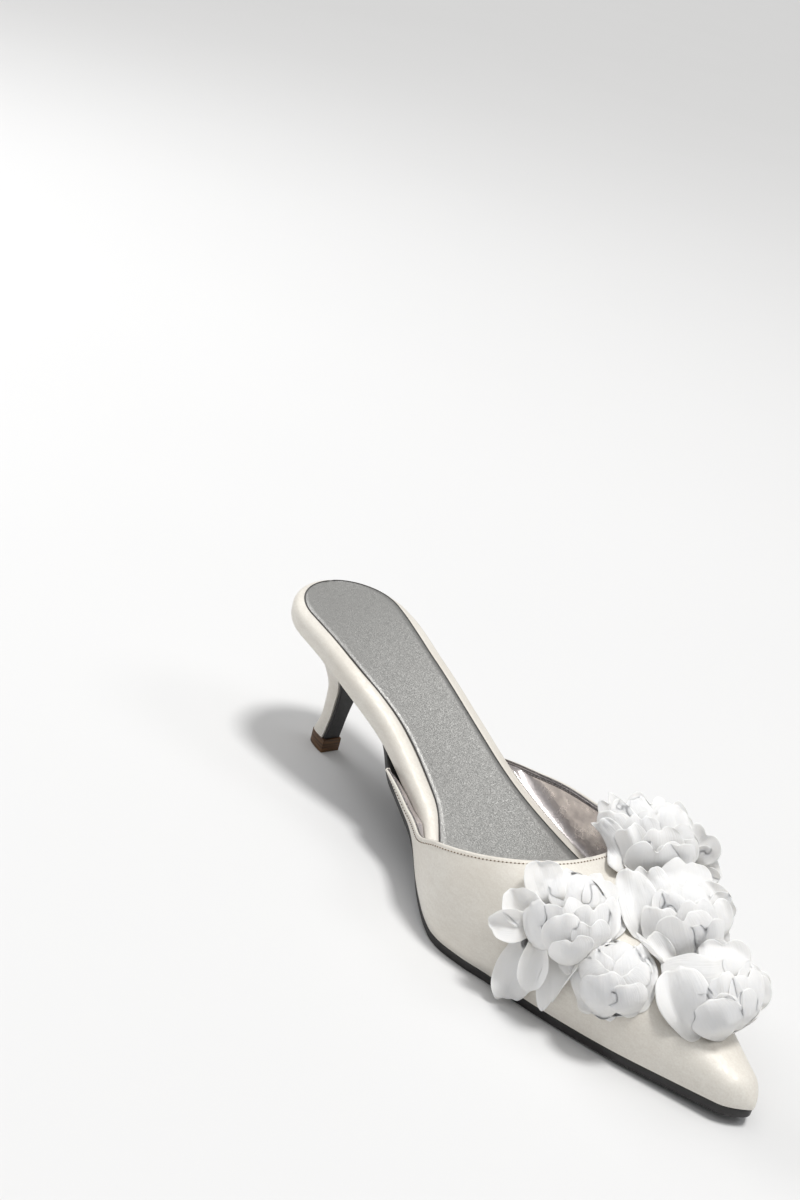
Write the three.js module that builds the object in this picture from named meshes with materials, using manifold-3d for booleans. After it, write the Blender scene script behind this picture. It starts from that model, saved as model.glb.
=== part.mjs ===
// A left-foot pointed mule on a kitten heel, with a wrapped footbed and five cloth blooms on its vamp.
// Millimetres. +X points to the toe, +Y to the wearer's left, +Z up, and the origin lies on the floor
// under the tread of the forefoot.
import * as THREE from "three";
import { ParametricGeometry } from "three/addons/geometries/ParametricGeometry.js";
import { mergeVertices } from "three/addons/utils/BufferGeometryUtils.js";
import Module from "manifold-3d";

const wasm = await Module();
wasm.setup();

// Driving dimensions of the last
const LENGTH = 258; // back of the heel seat to the toe tip, measured level
const HEEL_TO_TREAD = 150; // back of the heel seat to the middle of the flat tread
const FOOTBED_WIDTH = 79; // across the ball of the footbed
const HEEL_RISE = 48.5; // the heel seat above the last's bottom at the tread
const TOE_SPRING = 3.4; // the toe tip above the last's bottom at the tread
const INSTEP_HEIGHT = 40; // the vamp's ridge at the throat above the last's bottom

// Walls, layers and the gaps between them
const SOLE_THICKNESS = 3.5;
const FOOTBED_THICKNESS = 9.4;
const SOCK_THICKNESS = 0.6;
const FOOTBED_EDGE = 3.6; // radius of the padded footbed's side
const UPPER_WALL = 1.7;
const UPPER_GAP = 0.6; // the footbed's side to the upper's inside
const CLEARANCE = 0.3; // between two pieces that rest on each other
const SOLE_SETBACK = 0.8; // the sole's edge inside the upper's outside
const WAIST_SETBACK = 7; // the same under the waist, where no upper covers the footbed
const FLAP_THICKNESS = 1.8; // the sole's leather where it runs down the heel's breast

// The topline in side view, from the wings' rear ends to the throat
const THROAT_TO_TOE = 88;
const WING_TO_TOE = 176;

// The heel
const LIFT_HEIGHT = 5.6;
const LIFT_LENGTH = 9.2;
const LIFT_WIDTH = 8.8;
const LIFT_PROUD = 0.4; // the top piece beyond the heel that it caps
const TIP_TO_HEEL_BACK = 19; // how far the heel's tip is set forward under the seat
const SEAT_OVERHANG = 3; // the footbed beyond the heel's back at the seat
const SEAT_LENGTH = 44; // of the heel's block under the footbed
const SEAT_WIDTH = 42;
const HEEL_SHIFT = -1.2; // the heel's middle to the medial side
const FLAP_INSET = 0.5; // the breast's leather inside the satin's edges

// End shapes in plan
const SEAT_ROUND = 25; // length of the round end of the heel seat
const TOE_ROUND = 7; // length of the round end of the toe
const TOE_STOP = 9; // the footbed's end inside the upper's tip

const heelBack = -HEEL_TO_TREAD;
const toeTip = LENGTH - HEEL_TO_TREAD;

const MEDIAL = -1;
const LATERAL = 1;

// The last in rows from the heel's back to the toe tip. at is a share of the length, medial and lateral
// are shares of the footbed's width, rise of the heel's rise, pad of the footbed's thickness, ridge and
// swell of the instep's height. Ridge is the vamp's crown and swell the belly of its sides.
const LAST = [
  { at: 0.0, medial: 0.329, lateral: 0.304, rise: 1.0, pad: 1.0, ridge: 1.5, swell: 0.18 },
  { at: 0.116, medial: 0.329, lateral: 0.304, rise: 0.93, pad: 1.0, ridge: 1.5, swell: 0.18 },
  { at: 0.213, medial: 0.312, lateral: 0.284, rise: 0.8, pad: 1.0, ridge: 1.45, swell: 0.18 },
  { at: 0.31, medial: 0.268, lateral: 0.3, rise: 0.58, pad: 1.0, ridge: 1.4, swell: 0.18 },
  { at: 0.407, medial: 0.288, lateral: 0.342, rise: 0.32, pad: 1.0, ridge: 1.33, swell: 0.17 },
  { at: 0.504, medial: 0.425, lateral: 0.44, rise: 0.09, pad: 0.95, ridge: 1.22, swell: 0.11 },
  { at: 0.543, medial: 0.47, lateral: 0.483, rise: 0.022, pad: 0.9, ridge: 1.16, swell: 0.09 },
  { at: 0.565, medial: 0.485, lateral: 0.499, rise: 0.0, pad: 0.87, ridge: 1.13, swell: 0.08 },
  { at: 0.581, medial: 0.49, lateral: 0.505, rise: 0.0, pad: 0.85, ridge: 1.1, swell: 0.07 },
  { at: 0.62, medial: 0.472, lateral: 0.494, rise: 0.0, pad: 0.8, ridge: 1.05, swell: 0.06 },
  { at: 0.659, medial: 0.435, lateral: 0.462, rise: 0.0, pad: 0.75, ridge: 1.0, swell: 0.05 },
  { at: 0.736, medial: 0.371, lateral: 0.377, rise: 0.0, pad: 0.65, ridge: 0.84, swell: 0.03 },
  { at: 0.833, medial: 0.272, lateral: 0.258, rise: 0.0, pad: 0.5, ridge: 0.61, swell: 0.02 },
  { at: 0.922, medial: 0.155, lateral: 0.132, rise: 0.0, pad: 0.42, ridge: 0.365, swell: 0.01 },
  { at: 1.0, medial: 0.05, lateral: 0.036, rise: 0.0, pad: 0.4, ridge: 0.15, swell: 0.0 },
];

// The topline in side view, for each side of the foot. at is a share of the way from the wings' ends to
// the throat, and medial and lateral are shares of the throat's height above the floor.
const TOPLINE = [
  { at: -0.12, medial: 0.6, lateral: 0.6 },
  { at: 0.0, medial: 0.66, lateral: 0.64 },
  { at: 0.068, medial: 0.672, lateral: 0.66 },
  { at: 0.165, medial: 0.62, lateral: 0.695 },
  { at: 0.284, medial: 0.538, lateral: 0.73 },
  { at: 0.398, medial: 0.558, lateral: 0.765 },
  { at: 0.591, medial: 0.738, lateral: 0.8 },
  { at: 0.705, medial: 0.816, lateral: 0.86 },
  { at: 0.818, medial: 0.885, lateral: 0.92 },
  { at: 0.903, medial: 0.94, lateral: 0.96 },
  { at: 1.0, medial: 1.0, lateral: 1.0 },
  { at: 1.1, medial: 1.04, lateral: 1.04 },
];

// The heel in rows from its tip to the seat. up is a share of the heel's height, back and breast are
// shares of the way from the tip's back and breast to the seat's, wide a share of the seat's half width.
const HEEL = [
  { up: 0.0, back: 0.0, breast: 0.0, wide: 0.195 },
  { up: 0.2, back: -0.16, breast: 0.08, wide: 0.185 },
  { up: 0.42, back: -0.17, breast: 0.16, wide: 0.22 },
  { up: 0.61, back: 0.02, breast: 0.29, wide: 0.37 },
  { up: 0.78, back: 0.46, breast: 0.5, wide: 0.68 },
  { up: 0.91, back: 0.86, breast: 0.78, wide: 0.92 },
  { up: 1.0, back: 1.0, breast: 1.0, wide: 1.0 },
];

// Returns a smooth function through one column of a table, with no overshoot between its rows.
function column(rows, key, value) {
  const x = rows.map((row) => row[key]);
  const y = rows.map((row) => row[value]);
  const slope = y.slice(1).map((next, i) => (next - y[i]) / (x[i + 1] - x[i]));
  const tangent = y.map((_, i) => {
    const before = slope[i - 1] ?? slope[i];
    const after = slope[i] ?? before;
    return before * after <= 0 ? 0 : (2 * before * after) / (before + after);
  });
  return (at) => {
    const t = Math.min(Math.max(at, x[0]), x[x.length - 1]);
    const i = Math.min(x.findLastIndex((start) => start <= t), slope.length - 1);
    const width = x[i + 1] - x[i];
    const s = (t - x[i]) / width;
    const rest = 1 - s;
    return (
      y[i] * rest * rest * (1 + 2 * s) +
      tangent[i] * width * s * rest * rest +
      y[i + 1] * s * s * (3 - 2 * s) -
      tangent[i + 1] * width * s * s * rest
    );
  };
}

const share = (x) => (x - heelBack) / LENGTH;
const medialShare = column(LAST, "at", "medial");
const lateralShare = column(LAST, "at", "lateral");
const riseShare = column(LAST, "at", "rise");
const padShare = column(LAST, "at", "pad");
const ridgeShare = column(LAST, "at", "ridge");
const swellShare = column(LAST, "at", "swell");
const toplineShare = {
  [MEDIAL]: column(TOPLINE, "at", "medial"),
  [LATERAL]: column(TOPLINE, "at", "lateral"),
};

// Height of the last's bottom, where the footbed and the upper stand on the sole.
const TOE_SPRING_START = 15;
function bottom(x) {
  const toward = Math.max(0, (x - TOE_SPRING_START) / (toeTip - TOE_SPRING_START));
  return SOLE_THICKNESS + HEEL_RISE * riseShare(share(x)) + TOE_SPRING * toward * toward;
}

const pad = (x) => FOOTBED_THICKNESS * padShare(share(x));
const footbedTop = (x) => bottom(x) + CLEARANCE + pad(x);

// Half width of the footbed on one side, before its ends are rounded.
function halfWidth(x, side) {
  return FOOTBED_WIDTH * (side === MEDIAL ? medialShare : lateralShare)(share(x));
}

// One at the body of an outline, falling to zero along a quarter ellipse at a round end.
function roundEnd(distance, length) {
  const t = Math.min(Math.max(1 - distance / length, 0), 1);
  return Math.sqrt(1 - t * t);
}

// A plan outline set in from the footbed's side by inset, as a function of b from 0 at its rear end to
// 1 at its front end.
function outline({ start, end, inset, rearRound, frontRound }) {
  return (b, side) => {
    const x = start + ((end - start) * (1 - Math.cos(Math.PI * b))) / 2;
    const set = typeof inset === "function" ? inset(x, side) : inset;
    const round = roundEnd(x - start, rearRound) * roundEnd(end - x, frontRound);
    return new THREE.Vector2(x, side * (halfWidth(x, side) - set) * round);
  };
}

// Turns a closed three.js geometry into a solid, dropping faces that collapsed at a pole.
function solid(geometry) {
  const bare = geometry.index ? geometry.toNonIndexed() : geometry.clone();
  bare.deleteAttribute("normal");
  bare.deleteAttribute("uv");
  const merged = mergeVertices(bare, 1e-3);
  const index = merged.index.array;
  const faces = [];
  for (let i = 0; i < index.length; i += 3) {
    const [a, b, c] = index.slice(i, i + 3);
    if (a !== b && b !== c && c !== a) faces.push(a, b, c);
  }
  const build = (triVerts) =>
    new wasm.Manifold(
      new wasm.Mesh({
        numProp: 3,
        vertProperties: new Float32Array(merged.attributes.position.array),
        triVerts: new Uint32Array(triVerts),
      }),
    );
  const made = build(faces);
  return made.volume() < 0 ? build(faces.reverse()) : made;
}

// A closed loft. ringAt(around, along) gives a point for two values from 0 to 1. With capped set, each end
// is closed by a fan to the middle of its ring, and otherwise the end rings have collapsed to a line.
function loft(ringAt, pointsAround, steps, capped = true) {
  const ring = (along) =>
    Array.from({ length: pointsAround }, (_, i) => ringAt(i / pointsAround, along));
  const middle = (points) =>
    points.reduce((sum, p) => sum.add(p), new THREE.Vector3()).divideScalar(points.length);
  const caps = capped ? 1 : 0;
  const rows = steps + 2 * caps;
  const geometry = new ParametricGeometry(
    (u, v, target) => {
      const step = Math.round(v * rows) - caps;
      const around = Math.round(u * pointsAround) % pointsAround;
      if (step < 0) target.copy(middle(ring(0)));
      else if (step > steps) target.copy(middle(ring(1)));
      else target.copy(ringAt(around / pointsAround, step / steps));
    },
    pointsAround,
    rows,
  );
  return solid(geometry);
}

// A solid between a lower and an upper height over a plan outline, with its side rounded by radius.
function slab({ plan, low, high, radius, sidePoints, steps }) {
  const points = 2 * sidePoints;
  return loft(
    (around, along) => {
      const j = Math.round(around * points);
      const side = j < sidePoints ? MEDIAL : LATERAL;
      const step = side === MEDIAL ? j : points - 1 - j;
      const angle = Math.PI * (step / (sidePoints - 1) - 0.5);
      const at = plan(along, side);
      const before = plan(Math.max(along - 1e-3, 0), side);
      const after = plan(Math.min(along + 1e-3, 1), side);
      const tangent = after.clone().sub(before).normalize();
      const inward = new THREE.Vector2(-tangent.y, tangent.x).multiplyScalar(-side);
      if (along === 0 || along === 1) inward.set(1 - 2 * along, 0);
      const round = Math.min(radius(at.x), (high(at.x) - low(at.x)) / 2);
      const p = at.clone().addScaledVector(inward, round * (1 - Math.cos(angle)));
      const from = angle < 0 ? low(p.x) + round : high(p.x) - round;
      return new THREE.Vector3(p.x, p.y, from + round * Math.sin(angle));
    },
    points,
    steps,
    false,
  );
}

// A prism of a side-view outline, across the whole shoe.
const ACROSS = 400;
function prism(points) {
  const shape = new THREE.Shape(points.map(([x, z]) => new THREE.Vector2(x, z)));
  const geometry = new THREE.ExtrudeGeometry(shape, { depth: ACROSS, bevelEnabled: false });
  geometry.rotateX(Math.PI / 2).translate(0, ACROSS / 2, 0);
  return solid(geometry);
}

// Samples from one value to another, both included.
const range = (from, to, steps) =>
  Array.from({ length: steps + 1 }, (_, i) => from + ((to - from) * i) / steps);

// A side-view region above a line, from one x to another.
const FAR = 300;
function above(line, from, to, steps) {
  const edge = range(from, to, steps).map((x) => [x, line(x)]);
  return prism([...edge, [to, FAR], [from, FAR]]);
}

// The footbed: a padded board wrapped in satin, with a full round side
function footbed() {
  const plan = outline({
    start: heelBack,
    end: toeTip - TOE_STOP,
    inset: 0,
    rearRound: SEAT_ROUND,
    frontRound: TOE_ROUND,
  });
  return slab({
    plan,
    low: (x) => bottom(x) + CLEARANCE,
    high: footbedTop,
    radius: () => FOOTBED_EDGE,
    sidePoints: 6,
    steps: 50,
  });
}

// The sock lining: metallic leather that leaves a margin of satin, wider along the inner waist
const SOCK_MARGIN = 3.8;
const WAIST_MARGIN = 3.2;
const WAIST_MARGIN_AT = -58;
const WAIST_MARGIN_LENGTH = 42;
function sockMargin(x, side) {
  const t = (x - WAIST_MARGIN_AT) / WAIST_MARGIN_LENGTH;
  return SOCK_MARGIN + (side === MEDIAL ? WAIST_MARGIN * Math.exp(-t * t) : 0);
}
function sock() {
  const plan = outline({
    start: heelBack + SOCK_MARGIN,
    end: toeTip - TOE_STOP - SOCK_MARGIN,
    inset: sockMargin,
    rearRound: SEAT_ROUND - SOCK_MARGIN,
    frontRound: TOE_ROUND,
  });
  return slab({
    plan,
    low: (x) => footbedTop(x) + CLEARANCE,
    high: (x) => footbedTop(x) + CLEARANCE + SOCK_THICKNESS,
    radius: () => SOCK_THICKNESS / 3,
    sidePoints: 2,
    steps: 50,
  });
}

// The vamp's arch. angle runs from 0 at the feather line to a right angle at the crown, and grow sets
// the surface out from the footbed's side.
const SQUARENESS = { [MEDIAL]: 0.78, [LATERAL]: 0.86 };
const CROWN_TO_MEDIAL = 0.06; // how far the crown leans to the big toe, as a share of the footbed's width
function arch(x, side, angle, grow) {
  const outward = UPPER_GAP + UPPER_WALL + grow;
  const tip = toeTip + grow;
  const nose = roundEnd(tip - x, TOE_ROUND);
  const feather = side * (halfWidth(x, side) + outward * nose) * nose;
  const crown = -CROWN_TO_MEDIAL * FOOTBED_WIDTH * ridgeShare(share(x)) * nose;
  const rise = (INSTEP_HEIGHT * ridgeShare(share(x)) + grow) * nose;
  const swell = Math.sqrt(Math.max(Math.sin(2 * angle), 0));
  const belly = INSTEP_HEIGHT * swellShare(share(x)) * swell * nose;
  const reach = Math.pow(Math.max(Math.cos(angle), 0), SQUARENESS[side]);
  const lift = Math.pow(Math.max(Math.sin(angle), 0), SQUARENESS[side]);
  return new THREE.Vector3(
    x,
    crown + (feather - crown) * reach + side * belly,
    bottom(x) + CLEARANCE + rise * lift,
  );
}

// The room inside an arch surface, from rear to the toe, with walls that go down by drop below the feather.
const ARCH_POINTS = 11;
const ARCH_STEPS = 28;
function archSolid(grow, drop, rear) {
  const points = 2 * ARCH_POINTS + 2;
  const tip = toeTip + grow;
  return loft(
    (around, along) => {
      const x = rear + (tip - rear) * Math.sin((Math.PI / 2) * along);
      const j = Math.round(around * points);
      const side = j < points / 2 + 1 ? MEDIAL : LATERAL;
      const step = side === MEDIAL ? j : points - j;
      if (step === 0) {
        const floor = arch(x, MEDIAL, 0, grow).add(arch(x, LATERAL, 0, grow)).multiplyScalar(0.5);
        return floor.setZ(floor.z - drop);
      }
      const angle = (Math.max(step - 2, 0) / (ARCH_POINTS - 1)) * (Math.PI / 2);
      const p = arch(x, side, angle, grow);
      return step === 1 ? p.setZ(p.z - drop) : p;
    },
    points,
    ARCH_STEPS,
  );
}

// The upper: one hollow vamp whose wings run back along the footbed
const wingEnd = toeTip - WING_TO_TOE;
const throat = toeTip - THROAT_TO_TOE;
const throatHeight = SOLE_THICKNESS + INSTEP_HEIGHT;
const CUT_MARGIN = 2; // how far a cutting solid runs past what it cuts
const WING_RUN_OUT = 12; // vamp drawn behind the wings' ends, then cut away
const THROAT_RUN_OUT = 8; // the topline's cut beyond the throat
const TOPLINE_STEPS = 24;
const topline = (side) => (x) =>
  throatHeight * toplineShare[side]((x - wingEnd) / (throat - wingEnd));
function upper() {
  const behind = wingEnd - WING_RUN_OUT;
  const hollow = archSolid(-UPPER_WALL, INSTEP_HEIGHT, behind - CUT_MARGIN / 2);
  const made = archSolid(0, 0, behind).subtract(hollow);
  const half = (side) => {
    const cut = above(topline(side), behind - CUT_MARGIN, throat + THROAT_RUN_OUT, TOPLINE_STEPS);
    return made.trimByPlane([0, side, 0], 0).subtract(cut);
  };
  return half(MEDIAL).add(half(LATERAL));
}

// The heel's side profile at a height, from the tip on its top piece to the seat
const heelBackShare = column(HEEL, "up", "back");
const heelBreastShare = column(HEEL, "up", "breast");
const heelWidthShare = column(HEEL, "up", "wide");
const seatHeight = SOLE_THICKNESS + HEEL_RISE;
const tipBack = heelBack + TIP_TO_HEEL_BACK;
function heelSection(z) {
  const up = (z - LIFT_HEIGHT) / (seatHeight - LIFT_HEIGHT);
  const tipBreast = tipBack + LIFT_LENGTH - 2 * LIFT_PROUD;
  const seatBack = heelBack + SEAT_OVERHANG;
  return {
    back: tipBack + (seatBack - tipBack) * heelBackShare(up),
    breast: tipBreast + (seatBack + SEAT_LENGTH - tipBreast) * heelBreastShare(up),
    half: (SEAT_WIDTH / 2) * heelWidthShare(up),
  };
}

// A D-shaped ring, flat at the breast and round at the back. The powers square its corners.
const D_POINTS = 17;
const BACK_POWER = 0.9;
const SIDE_POWER = 0.62;
function dRing({ back, breast, half }, around, z) {
  const angle = Math.PI * around;
  const reach = Math.pow(Math.max(Math.sin(angle), 0), BACK_POWER);
  const spread = Math.sign(Math.cos(angle)) * Math.pow(Math.abs(Math.cos(angle)), SIDE_POWER);
  return new THREE.Vector3(breast + (back - breast) * reach, -half * spread + HEEL_SHIFT, z);
}
const dLoft = (sectionAt, low, high, steps) =>
  loft(
    (around, along) => {
      const z = low + (high - low) * along;
      return dRing(sectionAt(z), Math.min((around * D_POINTS) / (D_POINTS - 1), 1), z);
    },
    D_POINTS,
    steps,
  );

// The room over the heel's seat, to cut the heel and the sole to the last's bottom.
const HEEL_STEPS = 18;
const SEAT_STEPS = 20;
const seatRoom = () => {
  const front = heelBack + SEAT_OVERHANG + SEAT_LENGTH;
  return above(bottom, heelBack - CUT_MARGIN, front + SEAT_LENGTH / 2, SEAT_STEPS);
};

// The heel: satin over a curved block, cut to the seat
function heel() {
  const top = seatHeight + CUT_MARGIN;
  return dLoft(heelSection, LIFT_HEIGHT + CLEARANCE, top, HEEL_STEPS).subtract(seatRoom());
}

// The top piece, flat on the floor
function topLift() {
  const tip = heelSection(LIFT_HEIGHT);
  const section = {
    back: tip.back - LIFT_PROUD,
    breast: tip.breast + LIFT_PROUD + FLAP_THICKNESS,
    half: LIFT_WIDTH / 2,
  };
  return dLoft(() => section, 0, LIFT_HEIGHT, 1);
}

// The sole: black leather from the toe to the heel, where it turns down over the breast
const SOLE_UNDER_HEEL = 14; // sole drawn behind the breast's top, then cut to the breast
const SOLE_NARROWS = { from: -84, to: -60 }; // where the sole draws in from the upper's edge to the waist
const SOLE_EDGE = 0.5;
const FLAP_DEPTH = 4; // of the flap behind the breast, then cut to it
function soleInset(x) {
  const covered = THREE.MathUtils.smoothstep(x, SOLE_NARROWS.from, SOLE_NARROWS.to);
  const proud = UPPER_GAP + UPPER_WALL - SOLE_SETBACK;
  return WAIST_SETBACK * (1 - covered) - proud * covered;
}
function outsole() {
  const plan = outline({
    start: heelBack + SEAT_OVERHANG + SEAT_LENGTH - SOLE_UNDER_HEEL,
    end: toeTip - SOLE_SETBACK,
    inset: soleInset,
    rearRound: CLEARANCE,
    frontRound: TOE_ROUND,
  });
  const board = slab({
    plan,
    low: (x) => bottom(x) - SOLE_THICKNESS,
    high: bottom,
    radius: () => SOLE_EDGE,
    sidePoints: 2,
    steps: 50,
  });
  const flapSection = (z) => {
    const { breast, half } = heelSection(z);
    const front = breast + CLEARANCE + FLAP_THICKNESS;
    return { back: breast - FLAP_DEPTH, breast: front, half: half - FLAP_INSET };
  };
  const heelRoom = (z) => {
    const { back, breast, half } = heelSection(z);
    return { back: back - SEAT_LENGTH, breast: breast + CLEARANCE, half: half + SEAT_WIDTH };
  };
  return board
    .add(dLoft(flapSection, LIFT_HEIGHT + CLEARANCE, seatHeight, HEEL_STEPS))
    .subtract(dLoft(heelRoom, LIFT_HEIGHT - CUT_MARGIN, seatHeight + CUT_MARGIN, HEEL_STEPS))
    .subtract(seatRoom());
}

// Cloth blooms. at is where each one stands on the vamp's middle as a share from the throat to the toe,
// to the share of the footbed's width to the lateral side, up the middle's height above the last's
// bottom, and size its radius, both as shares of the instep's height. petals counts each ring.
const BLOOMS = [
  { name: "bloom_collar", at: 0.03, to: 0.31, up: 0.98, size: 0.56, petals: 5, open: 1.0 },
  { name: "bloom_crest", at: 0.35, to: 0.13, up: 0.8, size: 0.48, petals: 5, open: 1.0 },
  { name: "bloom_inner", at: 0.15, to: -0.3, up: 0.72, size: 0.47, petals: 5, open: 1.0 },
  { name: "bud_inner", at: 0.42, to: -0.26, up: 0.56, size: 0.32, petals: 4, open: 0.0 },
  { name: "bud_toe", at: 0.66, to: 0.04, up: 0.6, size: 0.42, petals: 4, open: 0.3 },
];
const PETAL_THICKNESS = 1.3;
const PETAL_POINTS = 3; // across one side of a petal
const PETAL_STEPS = 3; // from its root to its rim
const PETAL_ROOT = 0.5; // the root's angle from the bloom's underside
const RIM_ROUND = 0.16; // how far the rim falls at its corners, as a share of the petal's rise
const CUPPING = 1.6; // how early a petal reaches its full radius
const PETAL_BREADTH = { root: 0.18, rim: 0.76 }; // shares of the half wave that its width follows

// One cupped petal round a bloom's own axis, from its root under the core to its rim.
function petal({ reach, turn, span, rise, flare }) {
  const points = 2 * PETAL_POINTS;
  return loft(
    (around, along) => {
      const j = Math.round(around * points);
      const outer = j < PETAL_POINTS;
      const step = outer ? j : points - 1 - j;
      const across = (2 * step) / (PETAL_POINTS - 1) - 1;
      const polar = PETAL_ROOT + (rise - PETAL_ROOT) * along * (1 - RIM_ROUND * across * across);
      const { root, rim } = PETAL_BREADTH;
      const broad = Math.sin(Math.PI * (root + (rim - root) * along));
      const cup = Math.sin((Math.PI / 2) * Math.min(1, CUPPING * along));
      const radius = (reach * (1 + cup)) / 2 + flare * along * along;
      const set = radius - (outer ? 0 : PETAL_THICKNESS);
      const azimuth = turn + span * across * broad;
      return new THREE.Vector3(
        set * Math.sin(polar) * Math.cos(azimuth),
        set * Math.sin(polar) * Math.sin(azimuth),
        -set * Math.cos(polar),
      );
    },
    points,
    PETAL_STEPS,
  );
}

// A bloom's rings of petals fused on a round core, about its own middle with its face along +Z. reach and
// flare are shares of the bloom's radius, span a share of the room for one petal, and rise an angle up
// from the root, which an open bloom lowers by droop. A ring has fewer petals than the bloom's count.
const PETAL_RINGS = [
  { reach: 0.74, span: 1.1, rise: 2.55, droop: 0.15, flare: 0.0, turn: 0.0, fewer: 2 },
  { reach: 0.95, span: 1.25, rise: 2.1, droop: 0.35, flare: 0.14, turn: 0.5, fewer: 0 },
];
const CORE = 0.7; // radius of the core as a share of the bloom's
const FEWEST_PETALS = 3;
const CALYX = { reach: 0.86, depth: 0.42, down: 0.34 }; // the low round base that holds the petals
function bloom({ size, petals, open }) {
  const radius = INSTEP_HEIGHT * size;
  const ball = new THREE.SphereGeometry(radius, 10, 6);
  const core = solid(ball.clone().scale(CORE, CORE, CORE));
  const calyx = solid(
    ball.scale(CALYX.reach, CALYX.reach, CALYX.depth).translate(0, 0, -CALYX.down * radius),
  );
  return PETAL_RINGS.flatMap((ring) => {
    const count = Math.max(petals - ring.fewer, FEWEST_PETALS);
    return Array.from({ length: count }, (_, k) =>
      petal({
        reach: radius * ring.reach,
        span: (ring.span * Math.PI) / count,
        rise: ring.rise - ring.droop * open,
        flare: radius * ring.flare * open,
        turn: ((k + ring.turn) / count) * 2 * Math.PI,
      }),
    );
  }).reduce((whole, next) => whole.add(next), core.add(calyx));
}

// Where a bloom's middle lies, and the way it faces out of the vamp: up, a little to the toe, and aside
// as it stands further from the crown.
const FACING = { forward: 0.31, aside: 1.37 };
function bloomMiddle({ at, to, up }) {
  const x = throat + THROAT_TO_TOE * at;
  return new THREE.Vector3(x, FOOTBED_WIDTH * to, bottom(x) + INSTEP_HEIGHT * up);
}
function bloomFacing(row) {
  const middle = bloomMiddle(row);
  return new THREE.Vector3(FACING.forward, FACING.aside * (middle.y / FOOTBED_WIDTH), 1).normalize();
}

// Each bloom clear of the vamp under it and of its neighbours.
function placedBloom(row) {
  const middle = bloomMiddle(row);
  const up = new THREE.Vector3(0, 0, 1);
  const turn = new THREE.Quaternion().setFromUnitVectors(up, bloomFacing(row));
  const pose = new THREE.Matrix4().compose(middle, turn, new THREE.Vector3(1, 1, 1));
  const vamp = archSolid(CLEARANCE, 0, throat - THROAT_RUN_OUT * 4);
  const clear = bloom(row).transform(pose.elements).subtract(vamp);
  const trimmed = BLOOMS.filter((other) => other !== row).reduce((left, other) => {
    const toward = bloomMiddle(other).sub(middle);
    const distance = toward.length();
    const stop = (distance * row.size) / (row.size + other.size) - CLEARANCE / 2;
    const away = toward.normalize().negate();
    return left.trimByPlane(away.toArray(), away.dot(middle) - stop);
  }, clear);
  return trimmed.decompose().reduce((big, next) => (next.volume() > big.volume() ? next : big));
}

const FINISHES = {
  satin: { color: 0xe3dccf, roughness: 0.5 },
  metallic: { color: 0x9c9a99, roughness: 0.45, metalness: 0.6 },
  sole: { color: 0x1d1a19, roughness: 0.6 },
  stacked: { color: 0x6e4b24, roughness: 0.55 },
  cloth: { color: 0xf3f2f0, roughness: 0.8 },
};

// Wraps a finished solid as a named mesh.
function piece(name, finish, made) {
  const mesh = made.getMesh();
  const position = new Float32Array(mesh.numVert * 3);
  for (let i = 0; i < mesh.numVert; i++) {
    const start = i * mesh.numProp;
    position.set(mesh.vertProperties.subarray(start, start + 3), i * 3);
  }
  const geometry = new THREE.BufferGeometry();
  geometry.setAttribute("position", new THREE.BufferAttribute(position, 3));
  geometry.setIndex(new THREE.BufferAttribute(mesh.triVerts, 1));
  const built = new THREE.Mesh(geometry, new THREE.MeshStandardMaterial(FINISHES[finish]));
  built.name = name;
  return built;
}

const shoe = new THREE.Group();
shoe.name = "mule";
shoe.add(piece("outsole", "sole", outsole()));
shoe.add(piece("top_lift", "stacked", topLift()));
shoe.add(piece("heel", "satin", heel()));
shoe.add(piece("footbed", "satin", footbed()));
shoe.add(piece("sock_lining", "metallic", sock()));
shoe.add(piece("upper", "satin", upper()));
for (const row of BLOOMS) shoe.add(piece(row.name, "cloth", placedBloom(row)));

export default shoe;
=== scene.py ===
"""A dressed left mule on a kitten heel: satin upper, wrapped footbed, sock lining, sole and cloth blooms."""

import logging
import math
import random
from collections.abc import Callable, Sequence
from dataclasses import dataclass, field
from enum import Enum

import bmesh
import bpy
from mathutils import Matrix, Vector, noise
from mathutils.bvhtree import BVHTree


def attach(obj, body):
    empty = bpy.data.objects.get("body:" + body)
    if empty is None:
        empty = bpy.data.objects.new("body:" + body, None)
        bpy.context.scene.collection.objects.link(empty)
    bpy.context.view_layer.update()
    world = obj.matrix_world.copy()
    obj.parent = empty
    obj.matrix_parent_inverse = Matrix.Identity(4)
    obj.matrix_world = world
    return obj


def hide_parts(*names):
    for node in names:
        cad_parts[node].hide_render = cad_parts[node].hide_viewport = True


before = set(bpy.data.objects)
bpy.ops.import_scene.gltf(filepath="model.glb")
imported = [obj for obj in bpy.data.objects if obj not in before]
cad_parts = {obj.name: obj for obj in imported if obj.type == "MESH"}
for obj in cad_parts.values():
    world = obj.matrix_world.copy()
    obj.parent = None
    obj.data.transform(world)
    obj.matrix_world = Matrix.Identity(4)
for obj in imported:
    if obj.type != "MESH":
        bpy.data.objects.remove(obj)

MM = 0.001
MEDIAL = -1
LATERAL = 1
Color = tuple[float, float, float]
log = logging.getLogger("mule")


class Slot(Enum):
    """The record's material slots."""

    SATIN = "satin"
    METALLIC = "metallic_leather"
    SOLE = "sole_leather"
    LIFT = "heel_tip"
    FLOWER = "flower_cloth"


# Mesh helpers


def clamp(value: float, low: float = 0.0, high: float = 1.0) -> float:
    """Keeps a value between two limits."""
    return min(max(value, low), high)


def ease(value: float, start: float, end: float) -> float:
    """A smooth step from zero at start to one at end."""
    t = clamp((value - start) / (end - start))
    return t * t * (3 - 2 * t)


def bell(value: float, middle: float, width: float) -> float:
    """A soft bump of height one."""
    return math.exp(-(((value - middle) / width) ** 2))


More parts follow.
